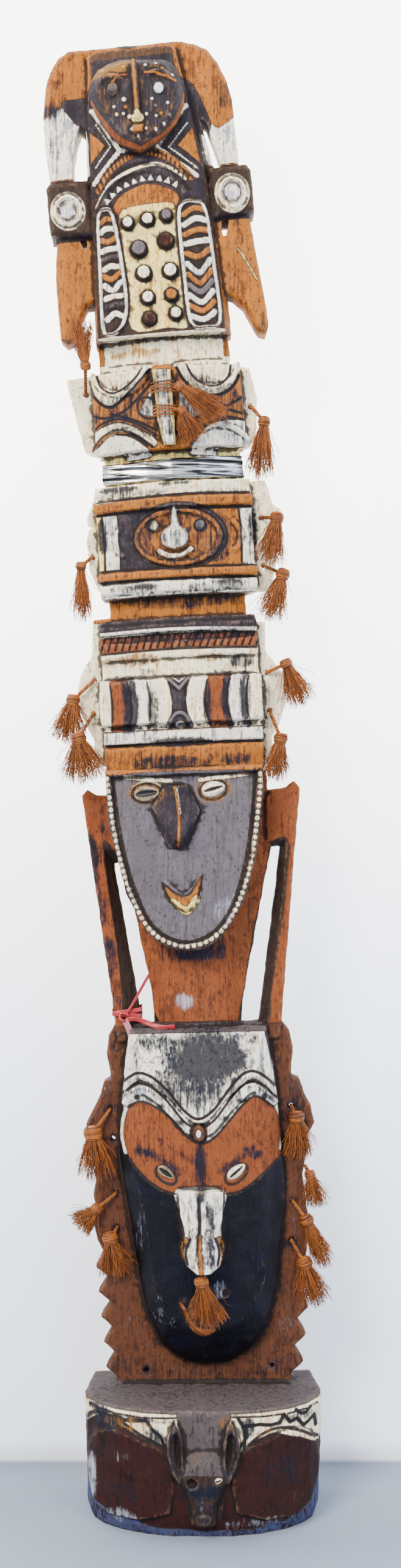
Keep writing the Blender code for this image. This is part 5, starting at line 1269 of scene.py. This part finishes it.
def make_bead(name, drilled):
    """A polished bead or shell disc that fills its packed stand-in, its middle drilled by a share."""
    low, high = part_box(name)
    centre, size = (low + high) / 2.0, high - low
    bm = bmesh.new()
    bmesh.ops.create_uvsphere(bm, u_segments=40, v_segments=24, radius=0.5)
    slits = []
    for vertex in bm.verts:
        x, y, z = vertex.co * 2.0
        around = math.hypot(x, z)
        dip = math.exp(-(around / 0.22) ** 2) if y < 0.0 else 0.0
        y += dip * 0.35 * drilled
        # Marks the drilled dip for painted shade.
        slits.append(dip * drilled)
        vertex.co = centre + Vector((x * size.x, y * size.y, z * size.z)) / 2.0
    mesh = mesh_from(bm, name)
    put_attribute(mesh, "slit", slits)
    mesh.shade_smooth()
    return in_scene(name, mesh)


# Length in metres past which the foil's edges are cut finer
FOIL_STEP = 0.004


def make_foil():
    """The foil strip: its packed ring cut fine and creased."""
    piece = merged_copy("foil_strip", "foil")
    bm = bmesh.new()
    bm.from_mesh(piece.data)
    for cuts in (3, 2):
        long_edges = [edge for edge in bm.edges if edge.calc_length() > FOIL_STEP]
        bmesh.ops.subdivide_edges(bm, edges=long_edges, cuts=cuts, use_grid_fill=True)
    bmesh.ops.triangulate(bm, faces=bm.faces)
    bm.normal_update()
    for vertex in bm.verts:
        x, y, z = vertex.co
        crease = noise.noise(Vector((x * 14.0 + z * 30.0, y * 14.0, z * 230.0 - x * 12.0)))
        wide = noise.noise(Vector((x * 26.0 - z * 50.0, y * 20.0, z * 60.0)))
        ridge = 1.0 - abs(crease) * 3.6
        share = 1.0 if vertex.normal.y < 0.5 else 0.3
        vertex.co += vertex.normal * UNIT * (0.9 * ridge + 1.1 * wide) * share
    bm.to_mesh(piece.data)
    bm.free()
    piece.data.shade_smooth()
    return piece


def tape(name, points, width, thickness):
    """A flat band along drawn (u, f, s, tilt) points, standing upright where its tilt is nought."""
    ups, places = [], [place(u, f, s) for u, f, s, tilt in points]
    for i, (*_, tilt) in enumerate(points):
        along = (places[min(i + 1, len(points) - 1)] - places[max(i - 1, 0)]).normalized()
        flat = Vector((0.0, 0.0, 1.0)) - along * along.z
        if flat.length < 0.4:
            flat = Vector((1.0, 0.0, 0.0)) - along * along.x
        ups.append(Matrix.Rotation(tilt, 3, along) @ flat.normalized())
    bm = bmesh.new()
    bmesh.ops.create_grid(bm, x_segments=4, y_segments=len(points) - 1, size=0.5)
    for vertex in bm.verts:
        across, i = vertex.co.x, round((vertex.co.y + 0.5) * (len(points) - 1))
        vertex.co = places[i] + ups[i] * UNIT * width * across
    bm.normal_update()
    bmesh.ops.solidify(bm, geom=bm.faces[:], thickness=thickness * UNIT)
    bmesh.ops.recalc_face_normals(bm, faces=bm.faces)
    return mesh_from(bm, name)


def make_ribbon():
    """The plastic ribbon round the mended arm: two turns, a knot, a strand and one of its two tails."""
    meshes = []
    for turn, level in enumerate((530.0, 526.5)):
        loop = []
        bends = [(-60, 6), (-60, 32), (-66, 34), (-86, 34), (-92, 32), (-93, 6), (-88, 5), (-65, 5), (-60, 6)]
        for (au, af), (bu, bf) in zip(bends, bends[1:]):
            for step in range(4):
                t = step / 4.0
                u = au + (bu - au) * t
                slope = (u + 76) * 0.12 * (1 - 2 * turn)
                loop.append((u, af + (bf - af) * t + turn * 0.5, level + slope, 0.0))
        loop.append(loop[0])
        meshes.append(tape("turn", loop, 5.0, 0.5))
    knot = []
    for k in range(3):
        a0 = k * 2.1
        knot.append([(-79 + 4.6 * math.cos(a0 + t * 0.42), 37 + 2.4 * math.sin(a0 * 2 + t * 0.8),
                      525 + 4.0 * math.sin(a0 + t * 0.42), 1.0) for t in range(16)])
    meshes.append(tube("knot", knot, 1.5, 2))
    strand = [(-76, 37, 529), (-70, 37, 538), (-63, 36, 550), (-56, 38, 562), (-51, 41.5, 570)]
    meshes.append(tube("strand", [strand], 1.5, 2))
    flat = [(-77 + 52 * t, 37 + 8 * t, 522 - 9 * t + 2 * math.sin(t * 7), 0.5 * math.sin(t * 9))
            for t in (k / 14 for k in range(15))]
    meshes.append(tape("tail", flat, 5.4, 0.5))
    return joined("ribbon", meshes)


def make_ribbon_tail():
    """The pale see-through tail that hangs from the ribbon's knot."""
    drop = [(-79 + 14 * t + 1.5 * math.sin(t * 6), 37 - 2 * t + math.sin(t * 5), 522 - 44 * t,
             0.4 * math.sin(t * 4)) for t in (k / 16 for k in range(17))]
    return joined("ribbon_tail", [tape("tail", drop, 7.0, 0.4)])


def linear(colour):
    """Linear red, green and blue of a #rrggbb colour, with full cover."""
    values = []
    for k in (1, 3, 5):
        value = int(colour[k:k + 2], 16) / 255.0
        values.append(value / 12.92 if value <= 0.04045 else ((value + 0.055) / 1.055) ** 2.4)
    return (*values, 1.0)


def add(tree, kind, inputs=(), **settings):
    """Add a node with its settings, and its inputs as values or as links from other nodes."""
    made = tree.nodes.new(kind)
    for name, value in settings.items():
        setattr(made, name, value)
    for key, value in inputs:
        if isinstance(value, bpy.types.NodeSocket):
            tree.links.new(value, made.inputs[key])
        else:
            made.inputs[key].default_value = value
    return made


def new_material(name):
    material = bpy.data.materials.new(name)
    material.use_nodes = True
    return material, material.node_tree, material.node_tree.nodes["Principled BSDF"]


def value_of(tree, name):
    """The numbers a mesh keeps under a name."""
    return add(tree, "ShaderNodeAttribute", attribute_name=name, attribute_type="GEOMETRY").outputs["Fac"]


def combined(tree, a, b, operation="ADD"):
    """Two values added, or put together in another way."""
    return add(tree, "ShaderNodeMath", [(0, a), (1, b)], operation=operation).outputs[0]


def times(tree, a, b):
    return combined(tree, a, b, "MULTIPLY")


def weighed(tree, *parts):
    """The sum of values, each times its weight."""
    total, *others = [times(tree, value, weight) for value, weight in parts]
    for part in others:
        total = combined(tree, total, part)
    return total


def brighter(tree, colour, scale):
    return add(tree, "ShaderNodeVectorMath", [(0, colour), ("Scale", scale)], operation="SCALE").outputs[0]


def ramp(tree, value, low, high, start=0.0, end=1.0):
    """Ease a value from one range to another."""
    made = add(tree, "ShaderNodeMapRange", [(0, value), (1, low), (2, high), (3, start), (4, end)],
               interpolation_type="SMOOTHSTEP")
    return made.outputs[0]


def blend(tree, share, first, second):
    """Mix two colours."""
    return add(tree, "ShaderNodeMix", [(0, share), (6, first), (7, second)], data_type="RGBA").outputs[2]


def spots(tree, at, scale, detail=3.0, rough=0.55, distort=0.0):
    """Cloudy noise over object places scaled per metre."""
    spread = add(tree, "ShaderNodeVectorMath", [(0, at), (1, scale)], operation="MULTIPLY").outputs[0]
    return add(tree, "ShaderNodeTexNoise", [("Vector", spread), ("Scale", 1.0), ("Detail", detail),
                                            ("Roughness", rough), ("Distortion", distort)]).outputs[0]


def painted_wood(settings):
    """Softwood under rubbed earth paints.

    Real ones are matt and chalky: they wear off the edges that hands touch, crack along the grain and
    hold soot in the cuts, which gives the eye soft uneven colour with dark lines in it. Here the hollows
    are also darkened as painted shade, rubbed edges are partly a painted highlight, and some dark
    smudges are painted shadows.
    """
    material, tree, shader = new_material("rubbed earth paint on carved softwood")
    at = add(tree, "ShaderNodeTexCoord").outputs["Object"]
    # Ragged paint edges, about 3 mm across, and finer crumbs
    ragged = spots(tree, at, (330.0, 330.0, 260.0), 4.0, 0.62)
    streak = spots(tree, at, (420.0, 420.0, 26.0), 4.0, 0.6, 0.4)
    cloud = spots(tree, at, (40.0, 40.0, 24.0), 4.0, 0.6, 0.2)
    fleck = spots(tree, at, (480.0, 480.0, 260.0), 2.0, 0.5)
    smear = spots(tree, at, (85.0, 85.0, 42.0), 6.0, 0.7, 0.25)
    chips = spots(tree, at, (190.0, 190.0, 95.0), 5.0, 0.72, 0.4)
    hollow = value_of(tree, "hollow")
    rubbed = times(tree, hollow, -1.0)
    edge_noise = times(tree, combined(tree, ragged, -0.5), 3.4)
    # Bare wood: warm brown with long grain
    pale_wood, dark_wood = linear(settings.wood_light), linear(settings.wood_dark)
    wood = blend(tree, ramp(tree, streak, 0.35, 0.68), dark_wood, pale_wood)
    colour = wood
    inside = None
    scuffed = weighed(tree, (chips, 0.42), (cloud, 0.3), (streak, 0.28))
    for paint in PAINTS:
        field = value_of(tree, "paint_" + paint)
        inside = field if inside is None else combined(tree, inside, field, "MAXIMUM")
        cover = ramp(tree, combined(tree, field, edge_noise), -0.35, 0.35)
        light, dark = settings.paint_colours(paint)
        own = blend(tree, ramp(tree, scuffed, 0.48, 0.58), linear(light), linear(dark))
        colour = blend(tree, cover, colour, own)
    # Slow darkening and lightening over a few centimetres
    colour = brighter(tree, colour, ramp(tree, cloud, 0.3, 0.7, 0.80, 1.12))
    # Dark lines where two paints meet
    grime_and_shade = linear(settings.grime_and_shade)
    seam = ramp(tree, combined(tree, inside, times(tree, ragged, 1.8)), 0.9, 2.0, 0.75, 0.0)
    colour = blend(tree, seam, colour, grime_and_shade)
    # Flecks and grain streaks
    colour = blend(tree, ramp(tree, fleck, 0.60, 0.70, 0.0, 0.65), colour, grime_and_shade)
    colour = blend(tree, ramp(tree, streak, 0.55, 0.74, 0.0, 0.40), colour, grime_and_shade)
    # Smudges of soot, ochre stain and pale scuffs, and painted shadows and shade drawn as dark smudges: the
    # stronger, the fewer gaps in them
    patchy = weighed(tree, (chips, 0.30), (smear, 0.35), (streak, 0.35))
    for kind, stuff in (("dark", settings.soot_smudge_and_shadow), ("stain", settings.stain), ("pale", settings.scuff)):
        amount = value_of(tree, "smudge_" + kind)
        cover = ramp(tree, combined(tree, patchy, times(tree, amount, 0.40)), 0.61, 0.82, 0.0, 0.96)
        colour = blend(tree, times(tree, cover, ramp(tree, amount, 0.0, 0.12)), colour, linear(stuff))
    # Rubbed edges show paler wood mixed with a brighter copy of the paint, partly a painted highlight;
    # hollows are darkened, partly by soot in the cuts and partly as painted shade
    worn = times(tree, ramp(tree, rubbed, 0.14, 0.50), ramp(tree, chips, 0.44, 0.60))
    rubbed_and_highlit = blend(tree, 0.22, brighter(tree, colour, 1.9), linear(settings.rubbed))
    colour = blend(tree, times(tree, worn, 0.6), colour, rubbed_and_highlit)
    crumbs = times(tree, combined(tree, chips, -0.5), 0.25)
    colour = blend(tree, ramp(tree, combined(tree, hollow, crumbs), 0.06, 0.30, 0.0, 0.9), colour, grime_and_shade)
    colour = blend(tree, value_of(tree, "bare"), colour, wood)
    tree.links.new(colour, shader.inputs["Base Color"])
    shader.inputs["Specular IOR Level"].default_value = 0.2
    rough = ramp(tree, smear, 0.3, 0.7, 0.62, 0.86)
    satin = ramp(tree, value_of(tree, "paint_navy"), -0.5, 1.5, 0.0, -0.28)
    tree.links.new(combined(tree, rough, satin), shader.inputs["Roughness"])
    height = weighed(tree, (streak, 0.5), (smear, 0.5), (fleck, 0.35), (chips, 0.5))
    bump = add(tree, "ShaderNodeBump", [("Height", height), ("Strength", 0.8), ("Distance", 0.0016)])
    tree.links.new(bump.outputs[0], shader.inputs["Normal"])
    return material


def raffia(settings):
    """Dyed dry raffia: each strip is its own shade of rust, with a faint waxy shine."""
    material, tree, shader = new_material("dyed dry raffia")
    at = add(tree, "ShaderNodeTexCoord").outputs["Object"]
    shade = value_of(tree, "shade")
    colour = blend(tree, shade, linear(settings.raffia_dark), linear(settings.raffia_light))
    patch = spots(tree, at, (160.0, 160.0, 60.0), 3.0)
    colour = blend(tree, ramp(tree, patch, 0.45, 0.75, 0.0, 0.5), colour, linear("#351504"))
    tree.links.new(colour, shader.inputs["Base Color"])
    shader.inputs["Roughness"].default_value = 0.55
    shader.inputs["Specular IOR Level"].default_value = 0.4
    return material


def shell_material(name, light, dark, slit_shade_colour, rough):
    """Sea-worn shell: pale and smooth with faint rings, its slit, the gaps between its teeth and any drilled
    hole painted dark as painted shade.
    """
    material, tree, shader = new_material(name)
    at = add(tree, "ShaderNodeTexCoord").outputs["Object"]
    patch = spots(tree, at, (260.0, 260.0, 260.0), 3.0)
    colour = blend(tree, ramp(tree, patch, 0.40, 0.68), linear(light), linear(dark))
    # The slit is darkened as painted shade.
    colour = blend(tree, ramp(tree, value_of(tree, "slit"), 0.15, 0.6), colour, linear(slit_shade_colour))
    tree.links.new(colour, shader.inputs["Base Color"])
    shader.inputs["Roughness"].default_value = rough
    return material


def foil_material():
    """Creased aluminium foil, finely wrinkled, with light and dark streaks along its creases painted into its
    colour as painted reflections.
    """
    material, tree, shader = new_material("creased aluminium foil")
    at = add(tree, "ShaderNodeTexCoord").outputs["Object"]
    crease = spots(tree, at, (12.0, 12.0, 260.0), 4.0, 0.6, 0.8)
    # Painted reflections: light and dark streaks of the creases in the foil's colour.
    colour = blend(tree, ramp(tree, crease, 0.42, 0.6), linear("#2c2d2f"), linear("#d9dadd"))
    tree.links.new(colour, shader.inputs["Base Color"])
    shader.inputs["Metallic"].default_value = 1.0
    shader.inputs["Roughness"].default_value = 0.26
    bump = add(tree, "ShaderNodeBump", [("Height", crease), ("Strength", 0.6), ("Distance", 0.001)])
    tree.links.new(bump.outputs[0], shader.inputs["Normal"])
    return material


def ribbon_material(name, colour, clear):
    """Thin gift-ribbon plastic: glossy, and see-through where it is pulled thin."""
    material, _, shader = new_material(name)
    shader.inputs["Base Color"].default_value = linear(colour)
    shader.inputs["Roughness"].default_value = 0.28
    shader.inputs["Alpha"].default_value = 1.0 - clear
    return material


def wall_material():
    """Matt white wall paint over a grey-blue floor; the wall glows as painted light from a hand's breadth
    above the floor up, bluish low and warmer and brighter higher.
    """
    material, tree, shader = new_material("matt white wall paint")
    shader.inputs["Roughness"].default_value = 0.9
    at = add(tree, "ShaderNodeTexCoord").outputs["Object"]
    height = add(tree, "ShaderNodeSeparateXYZ", [(0, at)]).outputs[2]
    patch = spots(tree, at, (3.0, 3.0, 1.6), 4.0)
    wall = blend(tree, ramp(tree, patch, 0.35, 0.7), linear("#e6eaf0"), linear("#dde3ec"))
    floor = blend(tree, ramp(tree, patch, 0.35, 0.7), linear("#8a93a2"), linear("#7f899a"))
    colour = blend(tree, ramp(tree, height, 0.0005, 0.006), floor, wall)
    tree.links.new(colour, shader.inputs["Base Color"])
    # The wall glows as painted light: bluish near the floor, warmer and much brighter higher up.
    warm = blend(tree, ramp(tree, height, 0.2, 1.2), linear("#dfeaf8"), linear("#fffcf5"))
    tree.links.new(warm, shader.inputs["Emission Color"])
    glow = combined(tree, ramp(tree, height, 0.002, 0.03, 0.0, 0.9), ramp(tree, height, 0.1, 1.3, 0.0, 4.5))
    tree.links.new(glow, shader.inputs["Emission Strength"])
    # The wall isn't seen from behind, so that the carving's back can be looked at
    behind = add(tree, "ShaderNodeNewGeometry").outputs["Backfacing"]
    clear = add(tree, "ShaderNodeBsdfTransparent").outputs[0]
    seen = add(tree, "ShaderNodeMixShader", [(0, behind), (1, shader.outputs[0]), (2, clear)]).outputs[0]
    tree.links.new(seen, tree.nodes["Material Output"].inputs["Surface"])
    return material


def dress(piece, material, slot, *nodes):
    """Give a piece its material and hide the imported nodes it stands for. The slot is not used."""
    piece.data.materials.clear()
    piece.data.materials.append(material)
    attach(piece, "root")
    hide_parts(*nodes)


def colour_property(name, value, description):
    return bpy.props.StringProperty(name=name, default=value, description=description)


class TOTEM_PG_settings(bpy.types.PropertyGroup):
    """Sizes and colours of the dressed totem mask."""
    carving_step: bpy.props.FloatProperty(
        name="Carving step", default=0.0014, min=0.0008, max=0.005, unit="LENGTH",
        description="Spacing of the fine mesh that the relief is cut into")
    carving_triangles: bpy.props.IntProperty(
        name="Carving triangles", default=190000, min=20000, max=198000,
        description="How many triangles the carving keeps")
    hand_work: bpy.props.FloatProperty(
        name="Hand work", default=1.0, min=0.0, max=3.0, description="How uneven the carved surfaces are")
    relief_depth: bpy.props.FloatProperty(
        name="Relief depth", default=1.5, min=0.0, max=3.0,
        description="How far the marks are raised or cut, against their own depths")
    fibres: bpy.props.IntProperty(
        name="Fibres", default=220, min=10, max=300, description="Fibres in a tassel of middling width")
    wood_light: colour_property("Wood, light", "#9c7350", "Bare wood between its grain lines")
    wood_dark: colour_property("Wood, dark", "#6e4a33", "Grain lines of the bare wood")
    # This colour also darkens the hollows as painted shade.
    grime_and_shade: colour_property("Grime", "#1c1513", "Dirt in the cuts, flecks and dark outlines")
    # This colour also paints the shadows and shade drawn as dark smudges.
    soot_smudge_and_shadow: colour_property("Smoke", "#0c1221", "Blue-black smudges")
    stain: colour_property("Stain", "#8a5f26", "Yellow-brown stain on the pale paints")
    scuff: colour_property("Scuff", "#a9adbb", "Pale rubbed scuffs")
    rubbed: colour_property("Rubbed edges", "#b08c66", "Wood that shows on edges that hands have rubbed")
    raffia_light: colour_property("Raffia, light", "#a35913", "Lightest raffia strips")
    raffia_dark: colour_property("Raffia, dark", "#4a2306", "Darkest raffia strips")
    ochre: colour_property("Ochre", "#a2611f #693915", "Orange earth paint, and where it is rubbed")
    cream: colour_property("Cream", "#f7f0ce #dcb888", "Cream paint, and where it is rubbed")
    straw: colour_property("Straw", "#f6e08c #d6a54e", "Yellow paint, and where it is rubbed")
    chalk: colour_property("Chalk", "#f7efda #8f9095", "White paint, and where it is rubbed")
    ash: colour_property("Ash", "#5e585f #514c4f", "Grey paint, and where it is rubbed")
    soot: colour_property("Soot", "#252028 #3c3437", "Black paint, and where it is rubbed")
    navy: colour_property("Navy", "#03030a #030419", "Blue-black paint, and where it is rubbed")
    oxblood: colour_property("Oxblood", "#2b0e0a #110405", "Red-brown paint, and where it is rubbed")
    lilac: colour_property("Lilac", "#3e4464 #1f1114", "Pale violet foot, and where it is rubbed")
    terracotta: colour_property("Terracotta", "#57321f #3a2016", "Brown-orange paint, and where it is rubbed")
    driftwood: colour_property("Driftwood", "#504748 #352f2f", "Weathered wood, and its darker streaks")
    sienna: colour_property("Sienna", "#824422 #5a2d16", "Duller orange paint, and where it is rubbed")
    umber: colour_property("Umber", "#33241d #1f1613", "Dark brown paint, and where it is rubbed")

    def paint_colours(self, paint):
        return getattr(self, paint).split()


class TOTEM_OT_carving(bpy.types.Operator):
    """Make the carved and painted log"""
    bl_idname = "totem.carving"
    bl_label = "Carving"

    def execute(self, context):
        settings = context.scene.totem_mask
        dress(carve(settings), painted_wood(settings), "carved_wood", "totem")
        return {"FINISHED"}


class TOTEM_OT_tassels(bpy.types.Operator):
    """Make the raffia tassels"""
    bl_idname = "totem.tassels"
    bl_label = "Raffia tassels"

    def execute(self, context):
        settings = context.scene.totem_mask
        material = raffia(settings)
        for row in TASSELS:
            dress(make_tassel(row, settings), material, "raffia", row.name)
        return {"FINISHED"}


class TOTEM_OT_inlays(bpy.types.Operator):
    """Make the cowries, the shell eye and the brow bead"""
    bl_idname = "totem.inlays"
    bl_label = "Shells and bead"

    def execute(self, context):
        pale = shell_material("worn white cowrie", "#e9e2d2", "#c2b093", "#3a2c22", 0.35)
        old = shell_material("old broken cowrie", "#9a8468", "#5d4b3a", "#15100d", 0.5)
        for row in COWRIES:
            worn = row.name in ("cowrie_grey_left", "cowrie_long_left")
            dress(make_shell(row), old if worn else pale, "shell", row.name)
        pearl = shell_material("mother of pearl disc", "#dfe2e4", "#a9b0b6", "#40362f", 0.22)
        dress(make_bead("shell_eye", 0.5), pearl, "shell", "shell_eye")
        stone = shell_material("pale polished bead", "#e4e0da", "#b9b2aa", "#6a625c", 0.25)
        dress(make_bead("brow_bead", 0.0), stone, "bead", "brow_bead")
        return {"FINISHED"}


class TOTEM_OT_repairs(bpy.types.Operator):
    """Make the foil strip and the plastic ribbon"""
    bl_idname = "totem.repairs"
    bl_label = "Foil and ribbon"

    def execute(self, context):
        dress(make_foil(), foil_material(), "foil", "foil_strip")
        dress(make_ribbon(), ribbon_material("red ribbon plastic", "#a0262c", 0.0), "ribbon", "arm_tie")
        pink = ribbon_material("thin pink ribbon plastic", "#c9808c", 0.35)
        dress(make_ribbon_tail(), pink, "ribbon", "arm_tie")
        return {"FINISHED"}


# Backdrop in metres: where its wall stands behind the carving, the curve at the wall's foot, its ends
WALL_AT = 0.14
CURVE_RADIUS = 0.008
FLOOR_FRONT = -4.0
WALL_TOP = 3.6
SHEET_WIDTH = 6.0
# The camera's place in metres, and half the picture's height over the distance to it
CAMERA_AT = (-0.0029, -1.906, 0.772)
PICTURE_SLOPE = 1288.0 / 2954.0


def sweep():
    """Floor and wall as one sheet with a tight curve between them."""
    bm = bmesh.new()
    radius = CURVE_RADIUS
    profile = [(FLOOR_FRONT, 0.0), (WALL_AT - radius, 0.0)]
    profile += [(WALL_AT - radius + radius * math.sin(a), radius - radius * math.cos(a))
                for a in (math.pi / 2 * k / 8 for k in range(1, 9))]
    profile.append((WALL_AT, WALL_TOP))
    points = [bm.verts.new((-SHEET_WIDTH / 2.0, y, z)) for y, z in profile]
    edges = [bm.edges.new((a, b)) for a, b in zip(points, points[1:])]
    made = bmesh.ops.extrude_edge_only(bm, edges=edges)["geom"]
    far_side = [item for item in made if isinstance(item, bmesh.types.BMVert)]
    bmesh.ops.translate(bm, vec=(SHEET_WIDTH, 0.0, 0.0), verts=far_side)
    bmesh.ops.recalc_face_normals(bm, faces=bm.faces)
    bm.normal_update()
    if sum(face.normal.z for face in bm.faces) < 0.0:
        bmesh.ops.reverse_faces(bm, faces=bm.faces)
    mesh = mesh_from(bm, "backdrop")
    mesh.shade_smooth()
    return in_scene("backdrop", mesh)


def area_light(name, at, aim, size, power, colour):
    light = bpy.data.lights.new(name, "AREA")
    light.shape = "RECTANGLE"
    light.size, light.size_y = size
    light.energy = power
    light.color = linear(colour)[:3]
    lamp = in_scene(name, light)
    lamp.location = at
    lamp.rotation_euler = (Vector(aim) - Vector(at)).to_track_quat("-Z", "Y").to_euler()


class TOTEM_OT_stage(bpy.types.Operator):
    """Make the floor, wall, lights and camera"""
    bl_idname = "totem.stage"
    bl_label = "Stage"

    def execute(self, context):
        backdrop = sweep()
        backdrop.data.materials.append(wall_material())
        area_light("key", (-1.3, -2.6, 2.6), (0.0, 0.0, 0.8), (1.3, 1.3), 225.0, "#fff3e4")
        area_light("fill", (1.7, -2.4, 1.4), (0.0, 0.0, 0.7), (2.0, 2.0), 66.0, "#e6eeff")
        world = bpy.data.worlds.new("soft room")
        world.use_nodes = True
        background = world.node_tree.nodes["Background"]
        background.inputs["Color"].default_value = linear("#dbe4f0")
        background.inputs["Strength"].default_value = 1.25
        context.scene.world = world
        camera = bpy.data.cameras.new("photo")
        camera.sensor_fit = "VERTICAL"
        camera.angle = 2.0 * math.atan(PICTURE_SLOPE)
        camera.clip_start = 0.05
        viewer = in_scene("photo", camera)
        viewer.location = CAMERA_AT
        viewer.rotation_euler = (math.radians(90.0), 0.0, 0.0)
        context.scene.camera = viewer
        return {"FINISHED"}


class TOTEM_PT_panel(bpy.types.Panel):
    """Sizes, colours and steps of the totem mask"""
    bl_label = "Totem mask"
    bl_idname = "TOTEM_PT_panel"
    bl_space_type = "VIEW_3D"
    bl_region_type = "UI"
    bl_category = "Totem mask"

    def draw(self, context):
        settings = context.scene.totem_mask
        for name in TOTEM_PG_settings.__annotations__:
            self.layout.prop(settings, name)
        for step in STEPS:
            self.layout.operator(step.bl_idname)


STEPS = (TOTEM_OT_carving, TOTEM_OT_tassels, TOTEM_OT_inlays, TOTEM_OT_repairs, TOTEM_OT_stage)
CLASSES = (TOTEM_PG_settings,) + STEPS + (TOTEM_PT_panel,)


def register():
    for item in CLASSES:
        bpy.utils.register_class(item)
    bpy.types.Scene.totem_mask = bpy.props.PointerProperty(type=TOTEM_PG_settings)


def unregister():
    del bpy.types.Scene.totem_mask
    for item in reversed(CLASSES):
        bpy.utils.unregister_class(item)


def main():
    register()
    for step in STEPS:
        group, name = step.bl_idname.split(".")
        getattr(getattr(bpy.ops, group), name)()


if __name__ == "__main__":
    main()
